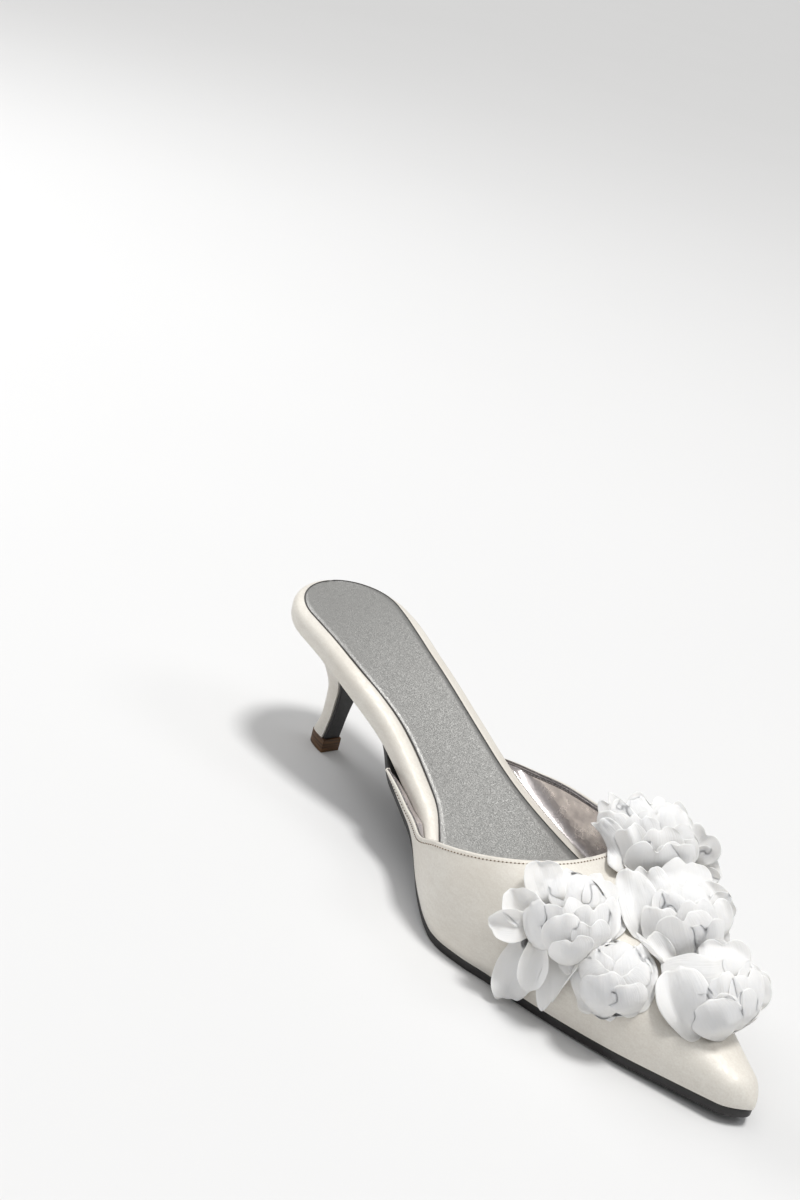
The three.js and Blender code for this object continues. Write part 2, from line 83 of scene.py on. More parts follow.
@dataclass(frozen=True)
class Rail:
    """A smooth curve through given values, with no overshoot between them."""

    at: tuple[float, ...]
    value: tuple[float, ...]

    def slope(self, i: int) -> float:
        """Slope of one span, with the end spans carried on."""
        j = int(clamp(i, 0, len(self.at) - 2))
        return (self.value[j + 1] - self.value[j]) / (self.at[j + 1] - self.at[j])

    def tangent(self, i: int) -> float:
        """Harmonic mean of the slopes beside a point, or zero at a turn."""
        before, after = self.slope(i - 1), self.slope(i)
        return 0.0 if before * after <= 0 else 2 * before * after / (before + after)

    def __call__(self, at: float) -> float:
        """Value of the curve.

        Args:
            at: where to read it, held inside the ends.

        Returns:
            The value there.
        """
        t = clamp(at, self.at[0], self.at[-1])
        i = max(j for j in range(len(self.at) - 1) if self.at[j] <= t)
        width = self.at[i + 1] - self.at[i]
        s = (t - self.at[i]) / width
        rest = 1 - s
        return (
            self.value[i] * rest * rest * (1 + 2 * s)
            + self.tangent(i) * width * s * rest * rest
            + self.value[i + 1] * s * s * (3 - 2 * s)
            - self.tangent(i + 1) * width * s * s * rest
        )


def drawn_sheet(
    bm: bmesh.types.BMesh, across: int, along: int, place: Callable[[float, float], Vector]
) -> list[bmesh.types.BMVert]:
    """Adds a grid and moves each of its vertices to its place.

    Args:
        bm: the mesh to add to.
        across: faces across.
        along: faces along.
        place: point for two parameters from zero to one, across and along.

    Returns:
        The new vertices.
    """
    if not bm.loops.layers.uv:
        bm.loops.layers.uv.new("weave")
    made = bmesh.ops.create_grid(
        bm, x_segments=across, y_segments=along, size=1.0, calc_uvs=True
    )["verts"]
    for vert in made:
        vert.co = place((vert.co.x + 1) / 2, (vert.co.y + 1) / 2)
    return made


def closed(bm: bmesh.types.BMesh) -> bmesh.types.BMesh:
    """Welds seams and poles and turns every face outwards.

    Args:
        bm: the mesh, changed in place.

    Returns:
        The same mesh.
    """
    bmesh.ops.remove_doubles(bm, verts=bm.verts, dist=2e-6)
    bmesh.ops.dissolve_degenerate(bm, edges=bm.edges, dist=1e-6)
    bmesh.ops.recalc_face_normals(bm, faces=bm.faces)
    return bm


def facing_up(bm: bmesh.types.BMesh) -> bmesh.types.BMesh:
    """Welds an open sheet and turns it so that its faces look up as a whole.

    Args:
        bm: the mesh, changed in place.

    Returns:
        The same mesh.
    """
    bmesh.ops.remove_doubles(bm, verts=bm.verts, dist=2e-6)
    bmesh.ops.recalc_face_normals(bm, faces=bm.faces)
    if sum(face.normal.z * face.calc_area() for face in bm.faces) < 0:
        bmesh.ops.reverse_faces(bm, faces=bm.faces)
    return bm


def frames_along(path: Sequence[Vector], start_up: Vector) -> list[tuple[Vector, Vector]]:
    """Two cross directions at each point of a path, carried along it without twist.

    Args:
        path: the points.
        start_up: a first cross direction.

    Returns:
        A pair of unit vectors for each point.
    """
    pairs = []
    up = start_up
    for i in range(len(path)):
        along = (path[min(i + 1, len(path) - 1)] - path[max(i - 1, 0)]).normalized()
        up = (up - along * up.dot(along)).normalized()
        pairs.append((up, along.cross(up)))
    return pairs


def tube(
    bm: bmesh.types.BMesh, path: Sequence[Vector], radius: float, sides: int, start_up: Vector
) -> None:
    """Adds a round cord along a path, with its two ends drawn to a point.

    Args:
        bm: the mesh to add to.
        path: the cord's middle.
        radius: of the cord.
        sides: faces around it.
        start_up: a first cross direction.
    """
    frames = frames_along(path, start_up)
    last = len(path) - 1

    def place(u: float, v: float) -> Vector:
        """A point on the cord.

        Args:
            u: share across.
            v: share along.

        Returns:
            The point.
        """
        i = round(v * last)
        turn = 2 * math.pi * u
        size = radius if 0 < i < last else 0.0
        return path[i] + (frames[i][0] * math.cos(turn) + frames[i][1] * math.sin(turn)) * size

    drawn_sheet(bm, sides, last, place)


def lengths_along(path: Sequence[Vector]) -> list[float]:
    """Distance along a path from its start to each point.

    Args:
        path: the points.

    Returns:
        One distance for each point.
    """
    lengths = [0.0]
    for a, b in zip(path, path[1:]):
        lengths.append(lengths[-1] + (b - a).length)
    return lengths


def resampled(path: Sequence[Vector], pitch: float) -> list[Vector]:
    """Evenly spaced points along a path.

    Args:
        path: the points to follow.
        pitch: distance between the new points.

    Returns:
        The new points.
    """
    lengths = lengths_along(path)
    count = max(2, round(lengths[-1] / pitch))
    points = []
    i = 0
    for k in range(count + 1):
        want = lengths[-1] * k / count
        while i < len(path) - 2 and lengths[i + 1] < want:
            i += 1
        span = max(lengths[i + 1] - lengths[i], 1e-9)
        points.append(path[i].lerp(path[i + 1], clamp((want - lengths[i]) / span)))
    return points


def placed(
    bm: bmesh.types.BMesh,
    name: str,
    material: bpy.types.Material,
    slot: Slot,
    stands_for: Sequence[str] = (),
    sharp: float = 0.7,
) -> bpy.types.Object:
    """Makes a piece of a mesh, in the row frame and riding on the part.

    Args:
        bm: the finished mesh, freed here.
        name: of the piece.
        material: its finish.
        slot: the record's slot that the finish belongs to; not used.
        stands_for: CAD nodes that the piece replaces.
        sharp: angle between faces past which an edge stays crisp, in radians.

    Returns:
        The new object.
    """
    for face in bm.faces:
        face.smooth = True
    for edge in bm.edges:
        edge.smooth = len(edge.link_faces) != 2 or edge.calc_face_angle(0.0) < sharp
    data = bpy.data.meshes.new(name)
    bm.to_mesh(data)
    bm.free()
    data.materials.append(material)
    piece = bpy.data.objects.new(name, data)
    bpy.context.scene.collection.objects.link(piece)
    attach(piece, "root")
    if stands_for:
        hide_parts(*stands_for)
    log.info("%s: %d faces", name, len(data.polygons))
    return piece


def walled(piece: bpy.types.Object, thickness: float, offset: float = -1.0) -> None:
    """Gives a sheet its wall, inwards unless offset says otherwise.

    Args:
        piece: the sheet.
        thickness: of the wall.
        offset: minus one for inwards, zero for half each way.
    """
    wall = piece.modifiers.new("wall", "SOLIDIFY")
    wall.thickness = thickness
    wall.offset = offset
    wall.use_even_offset = False


def softened(piece: bpy.types.Object, levels: int = 1) -> None:
    """Smooths a piece with the same subdivision in view and render.

    Args:
        piece: to smooth.
        levels: of subdivision.
    """
    smooth = piece.modifiers.new("smooth", "SUBSURF")
    smooth.levels = levels
    smooth.render_levels = levels


def eased_edges(piece: bpy.types.Object, width: float) -> None:
    """Rounds a piece's sharp edges.

    Args:
        piece: to bevel.
        width: of the bevel.
    """
    round_off = piece.modifiers.new("edges", "BEVEL")
    round_off.width = width
    round_off.segments = 3
    round_off.limit_method = "ANGLE"
    round_off.angle_limit = 0.6


# Finishes


class Shader:
    """A material that is being wired up around one Principled shader."""

    def __init__(self, name: str, **constants: float | tuple[float, ...]) -> None:
        """Starts a material.

        Args:
            name: of the material.
            constants: values for the shader's own sockets, with _ for a blank.
        """
        self.material = bpy.data.materials.new(name)
        self.material.use_nodes = True
        self.tree = self.material.node_tree
        self.surface = self.tree.nodes["Principled BSDF"]
        for key, value in constants.items():
            self.surface.inputs[key.replace("_", " ")].default_value = value

    def node(self, kind: str, **values: object) -> bpy.types.Node:
        """Adds a node.

        Args:
            kind: short type, such as TexNoise.
            values: settings in small letters, or input sockets with a capital letter. A socket is
                linked and anything else is a constant.

        Returns:
            The node.
        """
        made = self.tree.nodes.new("ShaderNode" + kind)
        for key, value in values.items():
            if key[0].islower():
                setattr(made, key, value)
        for key, value in values.items():
            if not key[0].islower():
                self.feed(made.inputs[key.replace("_", " ")], value)
        return made

    def feed(self, socket: bpy.types.NodeSocket, value: object) -> None:
        """Links a socket to another, or sets it.

        Args:
            socket: the input.
            value: a socket to link, or a constant.
        """
        if isinstance(value, bpy.types.NodeSocket):
            self.tree.links.new(value, socket)
        else:
            socket.default_value = value

    def coordinates(self, stretch: Color = (1, 1, 1), turn: Color = (0, 0, 0)) -> bpy.types.NodeSocket:
        """Object coordinates, stretched and turned."""
        start = self.node("TexCoord").outputs["Object"]
        return self.node("Mapping", Vector=start, Scale=stretch, Rotation=turn).outputs["Vector"]

    def laid_out(self, stretch: Color) -> bpy.types.NodeSocket:
        """The piece's own flat coordinates, stretched."""
        start = self.node("UVMap", uv_map="weave").outputs["UV"]
        return self.node("Mapping", Vector=start, Scale=stretch).outputs["Vector"]

    def noise(self, at: bpy.types.NodeSocket, scale: float, detail: float = 2.0) -> bpy.types.NodeSocket:
        """A cloudy value."""
        return self.node("TexNoise", Vector=at, Scale=scale, Detail=detail).outputs["Fac"]

    def span(self, value: bpy.types.NodeSocket, *ends: float) -> bpy.types.NodeSocket:
        """A value taken from one range to another: from low, from high, to low, to high.

        Args:
            value: to convert.
            ends: the four limits.

        Returns:
            The new value.
        """
        low, high, out_low, out_high = ends
        made = self.node("MapRange", Value=value)
        for key, end in zip(("From Min", "From Max", "To Min", "To Max"), (low, high, out_low, out_high)):
            made.inputs[key].default_value = end
        return made.outputs["Result"]

    def mixed(self, share: object, first: object, second: object) -> bpy.types.NodeSocket:
        """A colour between two others.

        Args:
            share: of the second colour.
            first: colour or socket.
            second: colour or socket.

        Returns:
            The colour.
        """
        made = self.node("Mix", data_type="RGBA")
        for index, value in ((0, share), (6, first), (7, second)):
            if isinstance(value, tuple):
                value = (*value, 1.0)
            self.feed(made.inputs[index], value)
        return made.outputs[2]

    def maths(self, operation: str, first: object, second: object = 0.5) -> bpy.types.NodeSocket:
        """One arithmetic step.

        Args:
            operation: Blender's name for it.
            first: socket or number.
            second: socket or number.

        Returns:
            The result.
        """
        made = self.node("Math", operation=operation)
        self.feed(made.inputs[0], first)
        self.feed(made.inputs[1], second)
        return made.outputs[0]

    def vectors(self, operation: str, first: object, second: object = None) -> bpy.types.NodeSocket:
        """One arithmetic step on vectors.

        Args:
            operation: Blender's name for it.
            first: socket or vector.
            second: socket, vector or, for SCALE, a number.

        Returns:
            The result.
        """
        made = self.node("VectorMath", operation=operation)
        self.feed(made.inputs[0], first)
        if second is not None:
            self.feed(made.inputs["Scale" if operation == "SCALE" else 1], second)
        return made.outputs[0]

    def bump(
        self, height: bpy.types.NodeSocket, strength: float, depth: float, under: object = None
    ) -> bpy.types.NodeSocket:
        """A relief on the surface.

        Args:
            height: of the relief.
            strength: from zero to one.
            depth: of the relief in metres.
            under: a coarser relief that this one lies on.

        Returns:
            The normal.
        """
        made = self.node("Bump", Height=height, Strength=strength, Distance=depth)
        if under is not None:
            self.feed(made.inputs["Normal"], under)
        return made.outputs["Normal"]

    def wire(self, **sockets: object) -> bpy.types.Material:
        """Links the shader's sockets and hands the material over."""
        for key, value in sockets.items():
            self.feed(self.surface.inputs[key.replace("_", " ")], value)
        return self.material


@dataclass(frozen=True)
class Satin:
    """Ivory duchess satin: long floats, a soft sheen and slubs."""

    name: str = "ivory_satin"
    pale: Color = (0.83, 0.805, 0.745)
    warm: Color = (0.72, 0.675, 0.60)
    shadow: Color = (0.58, 0.52, 0.45)
    roughness: float = 0.52
    floats: float = 0.30 * MM

    def material(self) -> bpy.types.Material:
        """The satin's material."""
        shader = Shader(
            self.name,
            Metallic=0.12,
            Specular_IOR_Level=0.5,
            Sheen_Weight=0.2,
            Sheen_Roughness=0.35,
            Anisotropic=0.35,
            Coat_Weight=0.06,
            Coat_Roughness=0.3,
        )
        at = shader.coordinates()
        clouds = shader.span(shader.noise(at, 45.0, 3.0), 0.35, 0.75, 0.0, 1.0)
        drawn = shader.coordinates((0.25, 1.0, 1.0), (0.0, 0.0, 0.5))
        slubs = shader.noise(drawn, 900.0, 2.0)
        weave = shader.node(
            "TexWave", Vector=at, Scale=0.314 / self.floats, Distortion=1.5, Detail=2.0,
            bands_direction="DIAGONAL",
        ).outputs["Fac"]
        soft = shader.bump(shader.noise(at, 110.0, 2.0), 0.22, 0.5 * MM)
        grain = shader.bump(slubs, 0.20, 0.10 * MM, soft)
        color = shader.mixed(shader.maths("MULTIPLY", clouds, 0.55), self.pale, self.warm)
        grains = shader.span(shader.noise(at, 1700.0, 2.0), 0.3, 0.7, 0.0, 0.22)
        shadows = shader.maths("ADD", grains, shader.span(slubs, 0.3, 0.7, 0.0, 0.16))
        return shader.wire(
            Base_Color=shader.mixed(shadows, color, self.shadow),
            Roughness=shader.span(slubs, 0.3, 0.7, self.roughness - 0.06, self.roughness + 0.08),
            Normal=shader.bump(weave, 0.16, 0.05 * MM, grain),
        )


@dataclass(frozen=True)
class GlitterLeather:
    """Silver-grey leather with a fine metal flake that sparkles."""

    name: str = "flaked_leather"
    dark: Color = (0.31, 0.31, 0.30)
    light: Color = (0.46, 0.458, 0.445)
    worn: Color = (0.36, 0.355, 0.345)
    flake: float = 0.17 * MM
    lean: float = 0.42

    def material(self) -> bpy.types.Material:
        """The sock lining's material."""
        shader = Shader(self.name, Specular_IOR_Level=0.6, Metallic=0.55)
        at = shader.coordinates()
        cells = shader.node("TexVoronoi", Vector=at, Scale=1.0 / self.flake)
        shade = shader.node("SeparateColor", Color=cells.outputs["Color"]).outputs[0]
        centred = shader.vectors("SUBTRACT", cells.outputs["Color"], (0.5, 0.5, 0.5))
        lean = shader.vectors("SCALE", centred, self.lean)
        grain = shader.bump(shader.noise(at, 1200.0, 3.0), 0.2, 0.08 * MM)
        tilted = shader.vectors("NORMALIZE", shader.vectors("ADD", grain, lean))
        wear = shader.span(shader.noise(at, 30.0, 3.0), 0.35, 0.7, 0.0, 0.5)
        color = shader.mixed(shader.span(shade, 0.0, 1.0, 0.1, 1.0), self.dark, self.light)
        return shader.wire(
            Base_Color=shader.mixed(wear, color, self.worn),
            Roughness=shader.span(shade, 0.0, 1.0, 0.28, 0.55),
            Normal=tilted,
        )


@dataclass(frozen=True)
class FoilLeather:
    """Metallic leather with a rosy tone, crinkled where it turns, its colour painted darker in the crinkles'
    hollows and lighter on their crests as painted shade and highlight.
    """

    name: str = "foiled_leather"
    dark: Color = (0.60, 0.56, 0.56)
    light: Color = (0.86, 0.80, 0.79)
    crinkle: float = 4.5 * MM

    def material(self) -> bpy.types.Material:
        """The upper lining's material."""
        shader = Shader(self.name, Specular_IOR_Level=0.6, Metallic=0.85)
        at = shader.coordinates()
        folds_and_painted_shade = shader.noise(at, 1.0 / self.crinkle, 4.0)
        edges = shader.node(
            "TexVoronoi", Vector=at, Scale=1.6 / self.crinkle, feature="DISTANCE_TO_EDGE"
        ).outputs["Distance"]
        coarse = shader.bump(folds_and_painted_shade, 0.5, 0.5 * MM)
        fine = shader.bump(shader.span(edges, 0.0, 0.12, 0.0, 1.0), 0.25, 0.12 * MM, coarse)
        pores = shader.bump(shader.noise(at, 2600.0, 2.0), 0.25, 0.05 * MM, fine)
        # painted shade and highlight: the base colour follows the crinkles' height, darker in their hollows
        # and lighter on their crests
        return shader.wire(
            Base_Color=shader.mixed(shader.span(folds_and_painted_shade, 0.3, 0.7, 0.0, 1.0), self.dark, self.light),
            Roughness=shader.span(folds_and_painted_shade, 0.3, 0.7, 0.38, 0.24),
            Normal=pores,
        )


@dataclass(frozen=True)
class SoleLeather:
    """Black leather, waxed at its edge and scuffed on the tread."""

    name: str = "black_sole"
    black: Color = (0.018, 0.017, 0.017)
    scuffed: Color = (0.075, 0.07, 0.066)

    def material(self) -> bpy.types.Material:
        """The sole's material."""
        shader = Shader(self.name, Specular_IOR_Level=0.45, Coat_Weight=0.1, Coat_Roughness=0.35)
        at = shader.coordinates()
        grain = shader.noise(at, 1500.0, 3.0)
        scratches = shader.noise(shader.coordinates((0.12, 1.0, 1.0), (0, 0, 0.3)), 800.0, 3.0)
        depth = shader.node("SeparateXYZ", Vector=at).outputs["Z"]
        under = shader.span(depth, 0.0, 2.2 * MM, 1.0, 0.0)
        scuff = shader.maths("MULTIPLY", under, shader.span(scratches, 0.45, 0.75, 0.0, 1.0))
        return shader.wire(
            Base_Color=shader.mixed(scuff, self.black, self.scuffed),
            Roughness=shader.span(scratches, 0.3, 0.7, 0.42, 0.62),
            Normal=shader.bump(grain, 0.35, 0.08 * MM),
        )


@dataclass(frozen=True)
class StackedLift:
    """Brown top piece with fine level layers."""

    name: str = "brown_lift"
    dark: Color = (0.050, 0.022, 0.007)
    light: Color = (0.14, 0.065, 0.020)

    def material(self) -> bpy.types.Material:
        """The top piece's material."""
        shader = Shader(self.name, Specular_IOR_Level=0.5)
        layers = shader.noise(shader.coordinates((0.05, 0.05, 1.0)), 1700.0, 2.0)
        grain = shader.noise(shader.coordinates(), 2200.0, 3.0)
        return shader.wire(
            Base_Color=shader.mixed(shader.span(layers, 0.35, 0.65, 0.0, 1.0), self.dark, self.light),
            Roughness=shader.span(grain, 0.3, 0.7, 0.4, 0.6),
            Normal=shader.bump(grain, 0.3, 0.06 * MM),
        )


@dataclass(frozen=True)
class PetalCloth:
    """Thin white cloth, veined from root to rim, with painted shade: warmer and a little darker towards each
    petal's root, where it tucks into the bloom.
    """

    name: str = "petal_cloth"
    rim: Color = (0.90, 0.895, 0.885)
    # painted shade: root is the warmer, darker tone painted at the petals' base for the shade deep in the
    # bloom
    root: Color = (0.90, 0.88, 0.835)
    crease: Color = (0.83, 0.82, 0.80)

    def material(self) -> bpy.types.Material:
        """The petals' material."""
        shader = Shader(
            self.name,
            Specular_IOR_Level=0.25,
            Sheen_Weight=0.25,
            Sheen_Roughness=0.5,
            Subsurface_Weight=0.9,
            Subsurface_Scale=0.35 * MM,
            Subsurface_Radius=(1.0, 0.97, 0.92),
        )
        flat = shader.laid_out((1.0, 1.0, 1.0))
        veins = shader.noise(shader.laid_out((26.0, 1.4, 1.0)), 1.0, 3.0)
        height = shader.node("SeparateXYZ", Vector=flat).outputs["Y"]
        creases = shader.bump(veins, 0.4, 0.3 * MM)
        threads = shader.noise(shader.coordinates(), 3200.0, 2.0)
        # painted shade: the colour runs from the painted root shade at the petal's base to the rim tone at
        # its tip
        color = shader.mixed(shader.span(height, 0.05, 0.6, 0.0, 1.0), self.root, self.rim)
        return shader.wire(
            Base_Color=shader.mixed(shader.span(veins, 0.35, 0.7, 0.0, 0.12), color, self.crease),
            Roughness=shader.span(veins, 0.3, 0.7, 0.62, 0.8),
            Normal=shader.bump(threads, 0.25, 0.05 * MM, creases),
        )


@dataclass(frozen=True)
class Thread:
    """Twisted sewing thread, the thin painted edges that share its grain, and the painted shade of the groove
    under the topline stitches.
    """

    name: str = "thread"
    light: Color = (0.20, 0.13, 0.075)
    dark: Color = (0.09, 0.055, 0.03)

    def material(self) -> bpy.types.Material:
        """The thread's material."""
        shader = Shader(self.name, Specular_IOR_Level=0.35, Sheen_Weight=0.2)
        at = shader.coordinates()
        twist = shader.noise(at, 4200.0, 2.0)
        return shader.wire(
            Base_Color=shader.mixed(twist, self.dark, self.light),
            Roughness=shader.span(twist, 0.3, 0.7, 0.6, 0.8),
            Normal=shader.bump(twist, 0.4, 0.05 * MM),
        )


@dataclass(frozen=True)
class StudioPaper:
    """The pale seamless floor."""

    name: str = "studio_paper"
    shade: Color = (0.735, 0.737, 0.742)

    def material(self) -> bpy.types.Material:
        """The floor's material."""
        shader = Shader(self.name, Specular_IOR_Level=0.2, Roughness=0.9)
        cloud = shader.noise(shader.coordinates(), 4.0, 2.0)
        return shader.wire(Base_Color=shader.mixed(cloud, self.shade, tuple(0.98 * c for c in self.shade)))


@dataclass
class Wardrobe:
    """Every finish of the shoe, made once."""

    satin: bpy.types.Material = field(default_factory=Satin().material)
    sock: bpy.types.Material = field(default_factory=GlitterLeather().material)
    lining: bpy.types.Material = field(default_factory=FoilLeather().material)
    # painted shade and highlight: like the lining, its colour is darker in its crinkles' hollows and lighter
    # on their crests
    binding: bpy.types.Material = field(
        default_factory=FoilLeather(
            "dark_binding", (0.12, 0.115, 0.118), (0.26, 0.24, 0.245), 1.2 * MM
        ).material
    )
    sole: bpy.types.Material = field(default_factory=SoleLeather().material)
    lift: bpy.types.Material = field(default_factory=StackedLift().material)
    petals: bpy.types.Material = field(default_factory=PetalCloth().material)
    thread: bpy.types.Material = field(default_factory=Thread().material)
    # painted shade: a darker line with the thread's grain that stands for the shade in the groove under the
    # topline stitches
    furrow_shade: bpy.types.Material = field(
        default_factory=Thread("needle_line_shade", (0.66, 0.60, 0.52), (0.56, 0.50, 0.42)).material
    )
    pale_thread: bpy.types.Material = field(
        default_factory=Thread("lining_thread", (0.36, 0.35, 0.35), (0.20, 0.19, 0.19)).material
    )
    dark_edge: bpy.types.Material = field(
        default_factory=Thread("edge_paint", (0.075, 0.072, 0.07), (0.04, 0.038, 0.037)).material
    )


# The last: the shapes that every piece follows

STATIONS = (0.0, 0.116, 0.213, 0.31, 0.407, 0.504, 0.543, 0.565, 0.581, 0.62, 0.659, 0.736, 0.833, 0.922, 1.0)
TOPLINE_AT = (-0.12, 0.0, 0.068, 0.165, 0.284, 0.398, 0.591, 0.705, 0.818, 0.903, 1.0, 1.1)


def along_last(*values: float) -> Rail:
    """A share of a size along the last, station by station."""
    return Rail(STATIONS, values)


@dataclass(frozen=True)
class Last:
    """The foot's form, in metres, with the same named sizes as the CAD part."""

    length: float = 258 * MM
    heel_to_tread: float = 150 * MM
    width: float = 79 * MM
    heel_rise: float = 48.5 * MM
    toe_spring: float = 3.4 * MM
    spring_start: float = 15 * MM
    instep: float = 40 * MM
    sole: float = 3.5 * MM
    pad: float = 9.4 * MM
    gap: float = 0.6 * MM
    wall: float = 1.7 * MM
    rest: float = 0.3 * MM
    throat_to_toe: float = 88 * MM
    wing_to_toe: float = 176 * MM
    toe_round: float = 7 * MM
    crown_lean: float = 0.06
    squareness: tuple[float, float] = (0.78, 0.86)
    medial: Rail = along_last(
        0.329, 0.329, 0.312, 0.268, 0.288, 0.425, 0.47, 0.485, 0.49, 0.472, 0.435, 0.371, 0.272, 0.155, 0.05
    )
    lateral: Rail = along_last(
        0.304, 0.304, 0.284, 0.3, 0.342, 0.44, 0.483, 0.499, 0.505, 0.494, 0.462, 0.377, 0.258, 0.132, 0.036
    )
    rise: Rail = along_last(1.0, 0.93, 0.8, 0.58, 0.32, 0.09, 0.022, 0, 0, 0, 0, 0, 0, 0, 0)
    padding: Rail = along_last(
        1.0, 1.0, 1.0, 1.0, 1.0, 0.95, 0.9, 0.87, 0.85, 0.8, 0.75, 0.65, 0.5, 0.42, 0.4
    )
    ridge: Rail = along_last(
        1.5, 1.5, 1.45, 1.4, 1.33, 1.22, 1.16, 1.13, 1.1, 1.05, 1.0, 0.84, 0.61, 0.365, 0.15
    )
    swell: Rail = along_last(
        0.18, 0.18, 0.18, 0.18, 0.17, 0.11, 0.09, 0.08, 0.07, 0.06, 0.05, 0.03, 0.02, 0.01, 0
    )
    medial_topline: Rail = Rail(
        TOPLINE_AT, (0.6, 0.66, 0.672, 0.634, 0.56, 0.566, 0.738, 0.816, 0.885, 0.94, 1.0, 1.04)
    )
    lateral_topline: Rail = Rail(
        TOPLINE_AT, (0.6, 0.64, 0.66, 0.695, 0.73, 0.765, 0.8, 0.86, 0.92, 0.96, 1.0, 1.04)
    )

    @property
    def back(self) -> float:
        """The back of the heel seat."""
        return -self.heel_to_tread

    @property
    def tip(self) -> float:
        """The toe's tip."""
        return self.length - self.heel_to_tread

    @property
    def throat(self) -> float:
        """Where the topline crosses the crown."""
        return self.tip - self.throat_to_toe

    def share(self, x: float) -> float:
        """How far along the last a point lies."""
        return (x - self.back) / self.length

    def bottom(self, x: float) -> float:
        """Height of the last's bottom, on top of the sole.

        Args:
            x: along the shoe.

        Returns:
            The height.
        """
        toward = max(0.0, (x - self.spring_start) / (self.tip - self.spring_start))
        return self.sole + self.heel_rise * self.rise(self.share(x)) + self.toe_spring * toward * toward

    def footbed_top(self, x: float) -> float:
        """Height of the footbed's top."""
        return self.bottom(x) + self.rest + self.pad * self.padding(self.share(x))

    def half_width(self, x: float, side: int) -> float:
        """Half width of the footbed on one side."""
        return self.width * (self.medial if side == MEDIAL else self.lateral)(self.share(x))

    @staticmethod
    def round_end(distance: float, length: float) -> float:
        """One at the body of an outline, falling to zero along a quarter ellipse at its end."""
        t = clamp(1 - distance / length)
        return math.sqrt(1 - t * t)

    def arch(self, x: float, side: int, angle: float, grow: float) -> Vector:
        """A point of the vamp's arch.

        Args:
            x: along the shoe.
            side: MEDIAL or LATERAL.
            angle: from zero at the feather line to a right angle at the crown.
            grow: how far the surface stands out from the upper's outside.

        Returns:
            The point.
        """
        along = self.share(x)
        nose = self.round_end(self.tip + grow - x, self.toe_round)
        reach = side * (self.half_width(x, side) + (self.gap + self.wall + grow) * nose) * nose
        crown = -self.crown_lean * self.width * self.ridge(along) * nose
        rise = (self.instep * self.ridge(along) + grow) * nose
        belly = self.instep * self.swell(along) * math.sqrt(max(math.sin(2 * angle), 0.0)) * nose
        power = self.squareness[0 if side == MEDIAL else 1]
        out = max(math.cos(angle), 0.0) ** power
        lift = max(math.sin(angle), 0.0) ** power
        return Vector(
            (x, crown + (reach - crown) * out + side * belly, self.bottom(x) + self.rest + rise * lift)
        )

    def topline(self, x: float, side: int) -> float:
        """Height of the topline in side view.

        Args:
            x: along the shoe.
            side: MEDIAL or LATERAL.

        Returns:
            The height.
        """
        wing = self.tip - self.wing_to_toe
        rail = self.medial_topline if side == MEDIAL else self.lateral_topline
        return (self.sole + self.instep) * rail((x - wing) / (self.throat - wing))

    def rim_angle(self, x: float, side: int) -> float:
        """Angle at which the arch reaches the topline.

        Args:
            x: along the shoe.
            side: MEDIAL or LATERAL.

        Returns:
            The angle, as arch takes it.
        """
        nose = self.round_end(self.tip - x, self.toe_round)
        rise = self.instep * self.ridge(self.share(x)) * nose
        part = (self.topline(x, side) - self.bottom(x) - self.rest) / rise
        power = self.squareness[0 if side == MEDIAL else 1]
        return math.asin(clamp(part) ** (1 / power))

    def crossing(self, low: float, high: float, above: Callable[[float], float]) -> float:
        """Where a falling or rising function crosses zero between two places.

        Args:
            low: one end of the search.
            high: the other end.
            above: the function.

        Returns:
            The place of the crossing.
        """
        rising = above(high) > 0
        for _ in range(40):
            middle = (low + high) / 2
            if (above(middle) > 0) == rising:
                high = middle
            else:
                low = middle
        return (low + high) / 2

    def wing_start(self, side: int) -> float:
        """Where a wing leaves the feather line."""
        return self.crossing(
            self.tip - self.wing_to_toe - 4 * MM,
            -48 * MM,
            lambda x: self.topline(x, side) - self.bottom(x) - self.rest,
        )

    def throat_crossing(self) -> float:
        """Where the topline meets the crown."""
        return self.crossing(
            self.throat - 12 * MM,
            self.throat + 8 * MM,
            lambda x: self.topline(x, LATERAL) - self.arch(x, LATERAL, math.pi / 2, 0.0).z,
        )


# Footbed, sock lining and sole: rounded slabs over a plan outline


